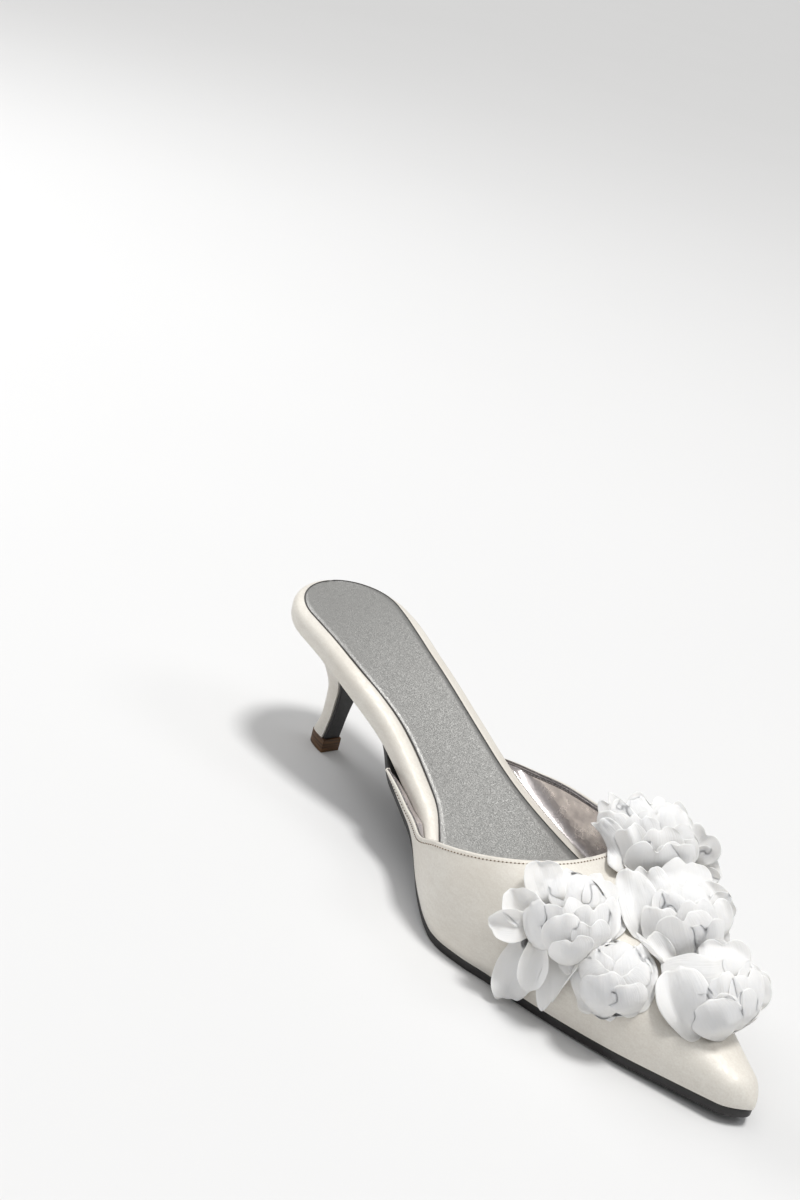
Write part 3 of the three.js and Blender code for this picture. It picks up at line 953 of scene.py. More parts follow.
@dataclass
class Slab:
    """A rounded layer between two heights over a plan outline."""

    last: Last
    start: float
    end: float
    inset: Callable[[float, int], float]
    rear_round: float
    front_round: float
    low: Callable[[float], float]
    high: Callable[[float], float]
    radius: float

    def edge(self, along: float, side: int) -> Vector:
        """A point of the plan outline.

        Args:
            along: from zero at the rear to one at the front.
            side: MEDIAL or LATERAL.

        Returns:
            The point, at height zero.
        """
        x = self.start + (self.end - self.start) * (1 - math.cos(math.pi * clamp(along))) / 2
        rounding = self.last.round_end(x - self.start, self.rear_round) * self.last.round_end(
            self.end - x, self.front_round
        )
        return Vector((x, side * (self.last.half_width(x, side) - self.inset(x, side)) * rounding, 0))

    def side_point(self, along: float, side: int, angle: float) -> Vector:
        """A point of the rounded side.

        Args:
            along: from zero at the rear to one at the front.
            side: MEDIAL or LATERAL.
            angle: from minus a right angle below to a right angle on top.

        Returns:
            The point.
        """
        at = self.edge(along, side)
        tangent = (self.edge(along + 2e-3, side) - self.edge(along - 2e-3, side)).normalized()
        inward = Vector((-tangent.y, tangent.x, 0)) * -side
        if along in (0.0, 1.0):
            inward = Vector((1 - 2 * along, 0, 0))
        rounding = min(self.radius, (self.high(at.x) - self.low(at.x)) / 2)
        p = at + inward * rounding * (1 - math.cos(angle))
        level = self.low(p.x) + rounding if angle < 0 else self.high(p.x) - rounding
        return Vector((p.x, p.y, level + rounding * math.sin(angle)))

    def mesh(
        self, around: int, steps: int, relief: Callable[[Vector, float], float] | None = None
    ) -> bmesh.types.BMesh:
        """The whole layer as one closed mesh.

        Args:
            around: faces round a section.
            steps: faces from rear to front.
            relief: change of height on the top, for a point and its distance from the top's edge.

        Returns:
            The mesh.
        """

        def place(u: float, v: float) -> Vector:
            """A point of the layer's skin.

            Args:
                u: share across.
                v: share along.

            Returns:
                The point.
            """
            quarter = (u % 1.0) * 4
            if quarter < 1:
                return self.side_point(v, MEDIAL, math.pi * (quarter - 0.5))
            if quarter < 2:
                share = (1 - math.cos(math.pi * (quarter - 1))) / 2
                a, b = (self.side_point(v, side, math.pi / 2) for side in (MEDIAL, LATERAL))
                p = a.lerp(b, share)
                if relief:
                    p.z += relief(p, min(share, 1 - share) * (b - a).length)
                return p
            if quarter < 3:
                return self.side_point(v, LATERAL, math.pi * (2.5 - quarter))
            a, b = (self.side_point(v, side, -math.pi / 2) for side in (LATERAL, MEDIAL))
            return a.lerp(b, quarter - 3)

        bm = bmesh.new()
        drawn_sheet(bm, around * 4, steps, place)
        return closed(bm)


@dataclass
class Footbed:
    """The padded board wrapped in satin, with the sock lining let into its top."""

    last: Last
    dress: Wardrobe
    edge: float = 3.6 * MM
    seat_round: float = 25 * MM
    toe_stop: float = 9 * MM
    margin: float = 3.8 * MM
    lateral_margin: float = 2.6 * MM
    waist_margin: float = 3.2 * MM
    waist_at: float = -58 * MM
    waist_length: float = 42 * MM
    sink: float = 0.35 * MM
    piping: float = 0.45 * MM
    sock_thickness: float = 0.5 * MM
    sock_lift: float = 0.55 * MM

    def sock_margin(self, x: float, side: int) -> float:
        """The satin left bare outside the sock, wider along the inner waist.

        Args:
            x: along the shoe.
            side: MEDIAL or LATERAL.

        Returns:
            The margin's width.
        """
        if side == MEDIAL:
            return self.margin + self.waist_margin * bell(x, self.waist_at, self.waist_length)
        return self.margin + self.lateral_margin * ease(x, -140 * MM, -110 * MM)

    def board(self) -> Slab:
        """The wrapped board's body."""
        return Slab(
            self.last,
            self.last.back,
            self.last.tip - self.toe_stop,
            lambda x, side: 0.0,
            self.seat_round,
            self.last.toe_round,
            lambda x: self.last.bottom(x) + self.last.rest,
            self.last.footbed_top,
            self.edge,
        )

    def sock_plan(self) -> Slab:
        """The sock lining's outline."""
        return Slab(
            self.last,
            self.last.back + self.margin,
            self.last.tip - self.toe_stop - self.margin,
            self.sock_margin,
            self.seat_round - self.margin,
            self.last.toe_round,
            self.last.footbed_top,
            lambda x: self.last.footbed_top(x) + self.sock_thickness,
            0.2 * MM,
        )

    def relief(self, p: Vector, from_edge: float) -> float:
        """Height change of the top: a soft roll at the margin and a bed for the sock.

        Args:
            p: a point of the top.
            from_edge: its distance from the top's edge.

        Returns:
            The change of height.
        """
        side = MEDIAL if p.y < 0 else LATERAL
        rim = self.sock_margin(p.x, side) - self.edge
        inside = min(from_edge - rim, p.x - self.last.back - self.margin)
        return self.piping * ease(inside, -4 * MM, -0.6 * MM) - (self.piping + self.sink) * ease(
            inside, -0.5 * MM, 0.9 * MM
        )

    def build_board(self) -> None:
        """Makes and dresses the wrapped board."""
        bm = self.board().mesh(14, 150, self.relief)
        piece = placed(bm, "wrapped_footbed", self.dress.satin, Slot.SATIN, ("footbed",))

    def sock_point(self, u: float, v: float) -> Vector:
        """A point of the sock's top, a little dished across.

        Args:
            u: from zero at the inner edge to one at the outer.
            v: from zero at the rear to one at the front.

        Returns:
            The point.
        """
        plan = self.sock_plan()
        a, b = plan.edge(v, MEDIAL), plan.edge(v, LATERAL)
        p = a.lerp(b, u)
        dish = 0.25 * MM * math.sin(math.pi * u)
        p.z = self.last.footbed_top(p.x) + self.sock_lift - dish
        return p

    def build_sock(self) -> None:
        """Makes the sock lining and its dark edge."""
        bm = bmesh.new()
        drawn_sheet(bm, 16, 130, self.sock_point)
        piece = placed(facing_up(bm), "sock_sheet", self.dress.sock, Slot.METALLIC, ("sock_lining",))
        walled(piece, self.sock_thickness)
        steps = 130
        medial = [self.sock_point(0, k / steps) for k in range(steps + 1)]
        lateral = [self.sock_point(1, k / steps) for k in range(steps, -1, -1)]
        ring = bmesh.new()
        path = [p + Vector((0, 0, -0.05 * MM)) for p in medial + lateral[1:]]
        tube(ring, resampled(path, 1.5 * MM), 0.28 * MM, 6, Vector((0, 0, 1)))
        placed(closed(ring), "sock_edge", self.dress.dark_edge, Slot.METALLIC)

    def build(self) -> None:
        """Makes the footbed's pieces."""
        self.build_board()
        self.build_sock()


@dataclass
class Heel:
    """The satin kitten heel, its black breast and its brown top piece."""

    last: Last
    dress: Wardrobe
    lift_height: float = 5.6 * MM
    lift_length: float = 9.2 * MM
    lift_width: float = 8.8 * MM
    proud: float = 0.4 * MM
    tip_forward: float = 19 * MM
    overhang: float = 3 * MM
    seat_length: float = 44 * MM
    seat_width: float = 42 * MM
    shift: float = -1.2 * MM
    flap: float = 1.5 * MM
    flap_inset: float = 0.5 * MM
    back_power: float = 0.9
    side_power: float = 0.62
    back: Rail = Rail((0.0, 0.2, 0.42, 0.61, 0.78, 0.91, 1.0), (0.0, -0.16, -0.17, 0.02, 0.46, 0.86, 1.0))
    breast: Rail = Rail((0.0, 0.2, 0.42, 0.61, 0.78, 0.91, 1.0), (0.0, 0.08, 0.16, 0.29, 0.5, 0.78, 1.0))
    wide: Rail = Rail((0.0, 0.2, 0.42, 0.61, 0.78, 0.91, 1.0), (0.195, 0.185, 0.22, 0.37, 0.68, 0.92, 1.0))

    @property
    def seat(self) -> float:
        """Height of the heel seat."""
        return self.last.sole + self.last.heel_rise

    def section(self, z: float) -> tuple[float, float, float]:
        """Back, breast and half width of the heel at a height.

        Args:
            z: the height.

        Returns:
            The three measures.
        """
        up = (z - self.lift_height) / (self.seat - self.lift_height)
        tip_back = self.last.back + self.tip_forward
        tip_breast = tip_back + self.lift_length - 2 * self.proud
        seat_back = self.last.back + self.overhang
        return (
            tip_back + (seat_back - tip_back) * self.back(up),
            tip_breast + (seat_back + self.seat_length - tip_breast) * self.breast(up),
            self.seat_width / 2 * self.wide(up),
        )

    def ring(self, section: tuple[float, float, float], u: float, z: float) -> Vector:
        """A point of a D-shaped ring: round at the back, and straight across the breast.

        Args:
            section: back, breast and half width.
            u: from zero to one around it.
            z: its height.

        Returns:
            The point.
        """
        back, breast, half = section
        curve = 0.82
        if u > curve:
            across = 1 - 2 * (u - curve) / (1 - curve)
            return Vector((breast, half * across + self.shift, z))
        angle = math.pi * u / curve
        reach = max(math.sin(angle), 0.0) ** self.back_power
        spread = math.copysign(abs(math.cos(angle)) ** self.side_power, math.cos(angle))
        return Vector((breast + (back - breast) * reach, -half * spread + self.shift, z))

    def build_block(self) -> None:
        """Makes the satin block, cut to the seat."""
        low = self.lift_height + 0.1 * MM

        def place(u: float, v: float) -> Vector:
            """A point of the block's skin.

            Args:
                u: share across.
                v: share along.

            Returns:
                The point.
            """
            if v in (0.0, 1.0):
                z = low if v == 0.0 else self.seat
                ring = [self.ring(self.section(z), k / 8, z) for k in range(8)]
                middle = sum(ring, Vector()) / 8
                middle.z = low if v == 0.0 else self.last.bottom(middle.x) - 0.1 * MM
                return middle
            share = clamp((v * 62 - 1) / 60)
            z = low + (self.seat + 1 * MM - low) * share
            p = self.ring(self.section(min(z, self.seat)), u % 1.0, z)
            p.z = min(p.z, self.last.bottom(p.x) - 0.05 * MM)
            return p

        bm = bmesh.new()
        drawn_sheet(bm, 64, 62, place)
        piece = placed(closed(bm), "heel_block", self.dress.satin, Slot.SATIN, ("heel",), 0.6)
        eased_edges(piece, 0.5 * MM)

    def build_breast(self) -> None:
        """Makes the black leather that runs from the waist down the heel's breast."""
        low = self.lift_height + 0.05 * MM

        def place(u: float, v: float) -> Vector:
            """A point of the leather's face.

            Args:
                u: share across.
                v: share along.

            Returns:
                The point.
            """
            z = low + (self.seat - low) * v
            _, breast, half = self.section(z)
            x = breast + self.flap
            z = min(z, self.last.bottom(x) - 0.2 * MM)
            return Vector((x, (half - self.flap_inset) * (2 * u - 1) + self.shift, z))

        bm = bmesh.new()
        drawn_sheet(bm, 10, 48, place)
        bmesh.ops.remove_doubles(bm, verts=bm.verts, dist=2e-6)
        bmesh.ops.recalc_face_normals(bm, faces=bm.faces)
        if sum(face.normal.x * face.calc_area() for face in bm.faces) < 0:
            bmesh.ops.reverse_faces(bm, faces=bm.faces)
        piece = placed(bm, "breast_leather", self.dress.sole, Slot.SOLE)
        walled(piece, self.flap - 0.1 * MM)
        eased_edges(piece, 0.3 * MM)

    def build_lift(self) -> None:
        """Makes the top piece that stands on the floor."""
        back, breast, _ = self.section(self.lift_height)
        section = (back - self.proud, breast + self.proud + 1.8 * MM, self.lift_width / 2)
        bm = bmesh.new()
        ring = [bm.verts.new(self.ring(section, k / 40, 0.0)) for k in range(40)]
        base = bm.faces.new(ring)
        raised = bmesh.ops.extrude_face_region(bm, geom=[base])
        top = [item for item in raised["geom"] if isinstance(item, bmesh.types.BMVert)]
        bmesh.ops.translate(bm, verts=top, vec=Vector((0, 0, self.lift_height)))
        bmesh.ops.recalc_face_normals(bm, faces=bm.faces)
        piece = placed(bm, "lift_block", self.dress.lift, Slot.LIFT, ("top_lift",), 0.5)
        eased_edges(piece, 0.35 * MM)

    def build(self) -> None:
        """Makes the heel's pieces."""
        self.build_block()
        self.build_breast()
        self.build_lift()


@dataclass
class Sole:
    """The black leather sole, from the toe to the heel's breast."""

    last: Last
    heel: Heel
    dress: Wardrobe
    setback: float = 0.8 * MM
    waist_setback: float = 7 * MM
    narrows: tuple[float, float] = (-84 * MM, -60 * MM)
    edge: float = 0.5 * MM

    def inset(self, x: float, side: int) -> float:
        """The sole's edge inside the footbed's side.

        Args:
            x: along the shoe.
            side: MEDIAL or LATERAL.

        Returns:
            The inset.
        """
        covered = ease(x, *self.narrows)
        return self.waist_setback * (1 - covered) - (self.last.gap + self.last.wall - self.setback) * covered

    def build(self) -> None:
        """Makes the sole."""
        start = self.last.back + self.heel.overhang + self.heel.seat_length - 0.3 * MM
        slab = Slab(
            self.last,
            start,
            self.last.tip - self.setback,
            self.inset,
            0.3 * MM,
            self.last.toe_round,
            lambda x: self.last.bottom(x) - self.last.sole,
            self.last.bottom,
            self.edge,
        )
        bm = slab.mesh(8, 150)
        placed(bm, "leather_sole", self.dress.sole, Slot.SOLE, ("outsole",), 0.9)


# Upper


@dataclass
class Upper:
    """The satin upper with its foil lining, folded edge, stitches and inner binding."""

    last: Last
    dress: Wardrobe
    satin_thickness: float = 0.9 * MM
    lining_depth: float = 1.0 * MM
    lining_thickness: float = 0.55 * MM
    wing_columns: int = 96
    front_columns: int = 60
    rows: int = 30
    stitch_drop: float = 1.45 * MM
    stitch_pitch: float = 1.35 * MM
    bead: float = 0.42 * MM
    band: float = 1.5 * MM
    gusset_rise: float = 4.5 * MM
    gusset_sink: float = 2.0 * MM
    gusset_power: float = 1.28
    gusset_wall: float = 0.12 * MM
    cover: BVHTree | None = None

    def rim(self, side: int) -> list[tuple[float, float]]:
        """Places on the arch where the topline runs, evenly spaced from the wing's end to the throat.

        Args:
            side: MEDIAL or LATERAL.

        Returns:
            Pairs of a place along the shoe and an angle.
        """
        start = self.last.wing_start(side)
        end = self.last.throat_crossing()
        fine = 900
        raw = []
        for k in range(fine + 1):
            x = end - (end - start) * (1 - k / fine) ** 2
            angle = self.last.rim_angle(x, side) if k < fine else math.pi / 2
            raw.append((x, angle, self.last.arch(x, side, angle, 0.0)))
        lengths = lengths_along([point for _, _, point in raw])
        places = []
        i = 0
        for k in range(self.wing_columns + 1):
            want = lengths[-1] * k / self.wing_columns
            while i < fine - 1 and lengths[i + 1] < want:
                i += 1
            t = clamp((want - lengths[i]) / max(lengths[i + 1] - lengths[i], 1e-9))
            places.append(tuple(raw[i][j] + (raw[i + 1][j] - raw[i][j]) * t for j in (0, 1)))
        return places

    def skin(self, bm: bmesh.types.BMesh, side: int, grow: float, tuck: float) -> None:
        """Adds one half of an arch surface, from its folded edge down to the sole.

        Args:
            bm: the mesh to add to.
            side: MEDIAL or LATERAL.
            grow: how far the surface stands out from the upper's outside.
            tuck: how far its lower edge turns in under the last.
        """
        rim = self.rim(side)
        end = self.last.throat_crossing()
        start = rim[0][0]
        ahead = end + 7 * MM
        columns = self.wing_columns + self.front_columns
        tip = self.last.tip + grow

        def column(u: float) -> tuple[float, float, float]:
            """Place at the feather and at the top of one column."""
            k = round(u * columns)
            if k <= self.wing_columns:
                part = k / self.wing_columns
                return start + (ahead - start) * part, rim[k][0], rim[k][1]
            turn = math.sin(math.pi / 2 * (k - self.wing_columns) / self.front_columns)
            return ahead + (tip - ahead) * turn, end + (tip - end) * turn, math.pi / 2

        def place(u: float, v: float) -> Vector:
            """A point of the surface.

            Args:
                u: share across.
                v: share along.

            Returns:
                The point.
            """
            low, high, top = column(u)
            row = v * (self.rows + 2) - 2
            if row < 0:
                foot = self.last.arch(low, side, 0.0, grow)
                nose = self.last.round_end(self.last.tip - low, self.last.toe_round)
                turned = -row / 2
                foot.y -= side * tuck * turned * nose
                foot.z -= 0.25 * MM * math.sin(math.pi / 2 * turned)
                return foot
            share = row / self.rows
            x = low + (high - low) * share
            return self.last.arch(min(x, tip), side, top * share, grow)

        drawn_sheet(bm, columns, self.rows + 2, place)

    def build_skins(self) -> None:
        """Makes the satin outside and the foil lining."""
        outside = bmesh.new()
        for side in (MEDIAL, LATERAL):
            self.skin(outside, side, 0.0, 1.4 * MM)
        facing_up(outside)
        self.cover = BVHTree.FromBMesh(outside)
        satin = placed(outside, "satin_upper", self.dress.satin, Slot.SATIN, ("upper",), 1.2)
        walled(satin, self.satin_thickness)
        inside = bmesh.new()
        for side in (MEDIAL, LATERAL):
            self.skin(inside, side, -self.lining_depth, 0.2 * MM)
        lining = placed(facing_up(inside), "foil_lining", self.dress.lining, Slot.METALLIC, (), 1.2)
        walled(lining, self.lining_thickness)

    def edge_line(self, grow: float, drop: float) -> list[tuple[Vector, Vector]]:
        """Points along the whole topline with the outward normal there.

        Args:
            grow: which surface to follow.
            drop: how far below the topline, measured down the surface.

        Returns:
            Pairs of a point and a normal, from the medial wing to the lateral one.
        """
        line = []
        for side in (MEDIAL, LATERAL):
            half = []
            for x, angle in self.rim(side):
                here = self.last.arch(x, side, angle, grow)
                nearby = self.last.arch(x, side, max(angle - 0.02, 0.0), grow)
                ahead = self.last.arch(x + 0.5 * MM, side, angle, grow)
                across = nearby - here
                if across.length < 1e-7:
                    across = Vector((0, side, -1))
                normal = across.cross(ahead - here) * side
                half.append((here, normal.normalized() * (1 if normal.dot(Vector((0, side, 1))) > 0 else -1)))
            line += half if side == MEDIAL else half[::-1][1:]
        moved = []
        for i, (p, normal) in enumerate(line):
            tangent = (line[min(i + 1, len(line) - 1)][0] - line[max(i - 1, 0)][0]).normalized()
            down = tangent.cross(normal).normalized()
            if down.dot(Vector((0.6, 0, -1))) < 0:
                down = -down
            moved.append((p + down * drop, normal))
        return moved

    def build_edge(self) -> None:
        """Makes the folded satin edge and the lining's edge that close the topline."""
        for name, depth, radius, material, slot in (
            ("folded_edge", 0.46 * MM, self.bead, self.dress.satin, Slot.SATIN),
            ("lining_edge", 1.18 * MM, self.bead * 0.9, self.dress.binding, Slot.METALLIC),
        ):
            bm = bmesh.new()
            path = [p - n * depth for p, n in self.edge_line(0.0, 0.28 * MM)]
            tube(bm, resampled(path, 1.1 * MM), radius, 10, Vector((0, 0, 1)))
            placed(closed(bm), name, material, slot)

    def build_stitches(self) -> None:
        """Makes the sewn line under the topline, with a thin darker cord under its stitches: painted shade
        standing for the groove they pull into the satin.
        """
        line = self.edge_line(0.0, self.stitch_drop)
        # painted shade: a thin darker cord laid under the stitches where the groove's shade would fall
        furrow_shade = bmesh.new()
        tube(furrow_shade, [p - n * 0.03 * MM for p, n in line[2:-2]], 0.11 * MM, 6, Vector((0, 0, 1)))
        placed(closed(furrow_shade), "needle_furrow_shade", self.dress.furrow_shade, Slot.SATIN)
        self.sew("topline_stitches", [p + n * 0.05 * MM for p, n in line[2:-2]], self.dress.thread)

    def sew(self, name: str, path: list[Vector], material: bpy.types.Material) -> None:
        """Lays short stitches end to end along a path.

        Args:
            name: of the piece.
            path: to follow.
            material: of the thread.
        """
        points = resampled(path, self.stitch_pitch)
        bm = bmesh.new()
        for a, b in zip(points, points[1:]):
            along = (b - a).normalized()
            turn = along.to_track_quat("X", "Z").to_matrix().to_4x4()
            size = Matrix.Diagonal((0.25 * self.stitch_pitch, 0.30 * MM, 0.24 * MM, 1))
            bmesh.ops.create_icosphere(
                bm, subdivisions=1, radius=1.0, matrix=Matrix.Translation((a + b) / 2) @ turn @ size
            )
        bmesh.ops.recalc_face_normals(bm, faces=bm.faces)
        placed(bm, name, material, Slot.SATIN, (), 3.0)

    def build_band(self) -> None:
        """Makes the dark binding inside the topline and its stitches."""
        inner = -(self.lining_depth + self.lining_thickness + 0.05 * MM)
        top = self.edge_line(inner, 0.3 * MM)
        low = self.edge_line(inner, self.band)
        count = len(top) - 1
        bm = bmesh.new()

        def place(u: float, v: float) -> Vector:
            """A point of the binding.

            Args:
                u: share across.
                v: share along.

            Returns:
                The point.
            """
            i = round(v * count)
            sag = 0.12 * MM * math.sin(math.pi * u)
            return top[i][0].lerp(low[i][0], u) - top[i][1] * sag

        drawn_sheet(bm, 4, count, place)
        bmesh.ops.recalc_face_normals(bm, faces=bm.faces)
        band = placed(bm, "inner_binding", self.dress.binding, Slot.METALLIC)
        walled(band, 0.25 * MM, 0.0)
        path = [p - n * 0.2 * MM for p, n in self.edge_line(inner, self.band * 0.7)]
        self.sew("binding_stitches", path[3:-3], self.dress.pale_thread)

    def build_gusset(self) -> None:
        """Makes the strip of lining that closes the wings to the footbed's side."""
        inner = -(self.lining_depth + self.lining_thickness)

        def place(side: int) -> Callable[[float, float], Vector]:
            """The strip on one side."""
            start = self.last.wing_start(side) + 0.5 * MM
            end = self.last.throat - 2 * MM

            def point(u: float, v: float) -> Vector:
                """A point of the strip, from the lining down to the footbed.

                Args:
                    u: share across.
                    v: share along.

                Returns:
                    The point.
                """
                x = start + (end - start) * v
                top = self.last.footbed_top(x)
                rim = self.last.arch(x, side, self.last.rim_angle(x, side), inner)
                high = min(rim.z - 0.5 * MM, top + self.gusset_rise)
                floor = self.last.bottom(x) + self.last.rest
                share = clamp((high - floor) / max(rim.z - floor, 1e-6)) ** self.gusset_power
                wall = self.last.arch(x, side, self.last.rim_angle(x, side) * share, inner)
                low = min(high - 0.5 * MM, top - self.gusset_sink)
                foot = side * (self.last.half_width(x, side) + self.gusset_wall)
                turn = math.pi / 2 * u
                y = wall.y + (foot - wall.y) * (1 - math.cos(turn))
                return Vector((x, y, high + (low - high) * math.sin(turn)))

            return point

        bm = bmesh.new()
        for side in (MEDIAL, LATERAL):
            drawn_sheet(bm, 12, 90, place(side))
        strip = placed(facing_up(bm), "lining_gusset", self.dress.lining, Slot.METALLIC)
        walled(strip, self.gusset_wall)

    def build(self) -> None:
        """Makes the upper's pieces."""
        self.build_skins()
        self.build_edge()
        self.build_stitches()
        self.build_band()
        self.build_gusset()


# Blooms


@dataclass(frozen=True)
class Ring:
    """A ring of petals. reach and flare are shares of the bloom's radius and rise is an angle."""

    count: int
    reach: float
    rise: float
    span: float = 1.15
    flare: float = 0.0
    ruffle: float = 0.04
    turn: float = 0.0
    overlap: float = 0.07


@dataclass(frozen=True)
class LaidPetal:
    """One petal laid over a bloom and listed one by one. Lengths are shares of the bloom's radius.

    root and tip are places in the plane that faces FRONT, from the bloom's middle along RIGHT and UP.
    over is how far it stands off the head, lift how much further its rim does, and cup how far its
    sides come up. notch is how deep its rim is cut.
    """

    root: tuple[float, float]
    tip: tuple[float, float]
    wide: float
    over: float
    lift: float
    cup: float
    notch: float


FRONT = Vector((0.67540, -0.62434, 0.39248)).normalized()
RIGHT = Vector((0.582, 0.778, 0.236)).normalized()
UP = FRONT.cross(RIGHT)

HEAD_RINGS = (
    Ring(2, 0.66, 3.00, 1.3, 0.0, 0.03, 0.1, 0.05),
    Ring(3, 0.70, 2.80, 1.3, 0.0, 0.03, 0.5, 0.06),
    Ring(3, 0.76, 2.62, 1.3, 0.0, 0.03, 0.2, 0.06),
    Ring(4, 0.83, 2.42, 1.35, 0.0, 0.03, 0.7, 0.06),
    Ring(4, 0.91, 2.20, 1.35, 0.0, 0.03, 0.3, 0.05),
    Ring(5, 0.97, 1.90, 1.35, 0.0, 0.03, 0.6, 0.05),
    Ring(6, 1.01, 1.60, 1.35, 0.03, 0.03, 0.1, 0.05),
    Ring(6, 1.03, 1.32, 1.3, 0.06, 0.03, 0.5, 0.05),
)
BUD_RINGS = (
    Ring(3, 0.82, 2.75, 1.45, 0.0, 0.015, 0.6, 0.05),
    Ring(4, 0.88, 2.45, 1.4, 0.0, 0.02, 0.1, 0.05),
    Ring(4, 0.94, 2.05, 1.35, 0.0, 0.02, 0.45, 0.04),
    Ring(5, 0.98, 1.65, 1.35, 0.02, 0.02, 0.15, 0.05),
    Ring(5, 1.00, 1.30, 1.3, 0.05, 0.02, 0.6, 0.05),
)
COLLAR_PETALS = (
    LaidPetal((0.4, -0.3), (0.8, 0.3), 0.35, -0.1, 0.1, 0.1, 0.1),
    LaidPetal((0.5, -0.35), (0.95, -0.15), 0.3, -0.15, 0.1, 0.1, 0.0),
    LaidPetal((0.55, -0.45), (0.95, -0.55), 0.25, -0.15, 0.1, 0.1, 0.0),
    LaidPetal((-0.2, 0.15), (-0.1, 0.85), 0.35, -0.1, 0.1, 0.05, 0.2),
    LaidPetal((0.1, 0.1), (0.25, 0.75), 0.3, -0.1, 0.1, 0.05, 0.1),
    LaidPetal((-0.3, 0.0), (-0.75, 0.8), 0.25, -0.05, 0.1, 0.05, 0.2),
    LaidPetal((-0.25, 0.05), (-0.45, 0.8), 0.3, -0.05, 0.1, 0.05, 0.15),
    LaidPetal((0.05, 0.05), (0.35, 0.65), 0.3, 0.0, 0.1, 0.05, 0.0),
    LaidPetal((-0.05, -0.05), (-0.05, 0.7), 0.3, 0.0, 0.1, 0.05, 0.1),
    LaidPetal((0.1, -0.1), (0.5, 0.35), 0.3, 0.0, 0.1, 0.05, 0.0),
    LaidPetal((-0.2, -0.2), (-0.3, 0.6), 0.3, 0.0, 0.1, 0.0, 0.1),
    LaidPetal((-0.4, -0.3), (-0.7, 0.6), 0.3, 0.0, 0.1, -0.05, 0.0),
    LaidPetal((-0.35, -0.35), (-0.9, 0.45), 0.25, 0.05, 0.1, -0.05, 0.0),
    LaidPetal((0.2, -0.35), (0.4, 0.25), 0.3, 0.0, 0.1, 0.05, 0.0),
    LaidPetal((0.05, -0.25), (-0.05, 0.45), 0.35, 0.05, 0.1, 0.05, 0.15),
    LaidPetal((0.15, -0.45), (0.25, 0.2), 0.35, 0.05, 0.1, 0.05, 0.0),
    LaidPetal((-0.25, -0.4), (-0.5, 0.45), 0.25, 0.05, 0.1, -0.05, 0.0),
    LaidPetal((-0.1, -0.6), (-0.1, 0.25), 0.45, 0.1, 0.05, -0.05, 0.2),
)
CREST_PETALS = (
    LaidPetal((0.1, 0.05), (0.2, 1.0), 0.5, -0.1, 0.1, 0.05, 0.1),
    LaidPetal((0.45, 0.05), (0.6, 0.65), 0.4, -0.15, 0.1, 0.1, 0.0),
    LaidPetal((0.4, -0.1), (0.9, 0.4), 0.3, -0.15, 0.1, 0.1, 0.0),
    LaidPetal((0.4, -0.3), (0.85, -0.1), 0.3, -0.1, 0.1, 0.1, 0.0),
    LaidPetal((-0.35, 0.15), (-0.5, 0.9), 0.3, -0.05, 0.1, 0.1, 0.1),
    LaidPetal((-0.5, -0.15), (-1.0, 0.6), 0.25, -0.1, 0.1, 0.1, 0.0),
    LaidPetal((0.1, -0.2), (0.0, 0.7), 0.45, 0.0, 0.1, 0.05, 0.1),
    LaidPetal((-0.2, -0.15), (-0.25, 0.6), 0.3, 0.0, 0.1, 0.05, 0.1),
    LaidPetal((0.4, -0.5), (0.5, 0.45), 0.45, 0.0, 0.1, 0.0, 0.1),
    LaidPetal((0.25, -0.5), (0.2, 0.5), 0.4, 0.05, 0.1, 0.0, 0.15),
    LaidPetal((-0.6, -0.35), (-0.8, 0.85), 0.35, 0.0, 0.1, -0.1, 0.0),
    LaidPetal((-0.1, -0.8), (-0.45, 0.35), 0.35, 0.05, 0.05, -0.05, 0.0),
    LaidPetal((0.25, -0.8), (-0.1, 0.3), 0.5, 0.1, 0.1, -0.05, 0.1),
    LaidPetal((0.45, -0.7), (0.35, 0.15), 0.4, 0.1, 0.05, -0.05, 0.1),
    LaidPetal((0.25, -0.75), (0.75, -0.3), 0.35, 0.1, 0.05, -0.05, 0.0),
    LaidPetal((-0.2, -0.95), (-0.6, -0.1), 0.3, 0.1, 0.05, -0.05, 0.0),
    LaidPetal((-0.35, -0.9), (-0.95, -0.15), 0.25, 0.05, 0.1, 0.2, 0.0),
    LaidPetal((-0.15, -0.4), (-0.1, -1.0), 0.35, 0.0, 0.05, 0.0, 0.2),
)
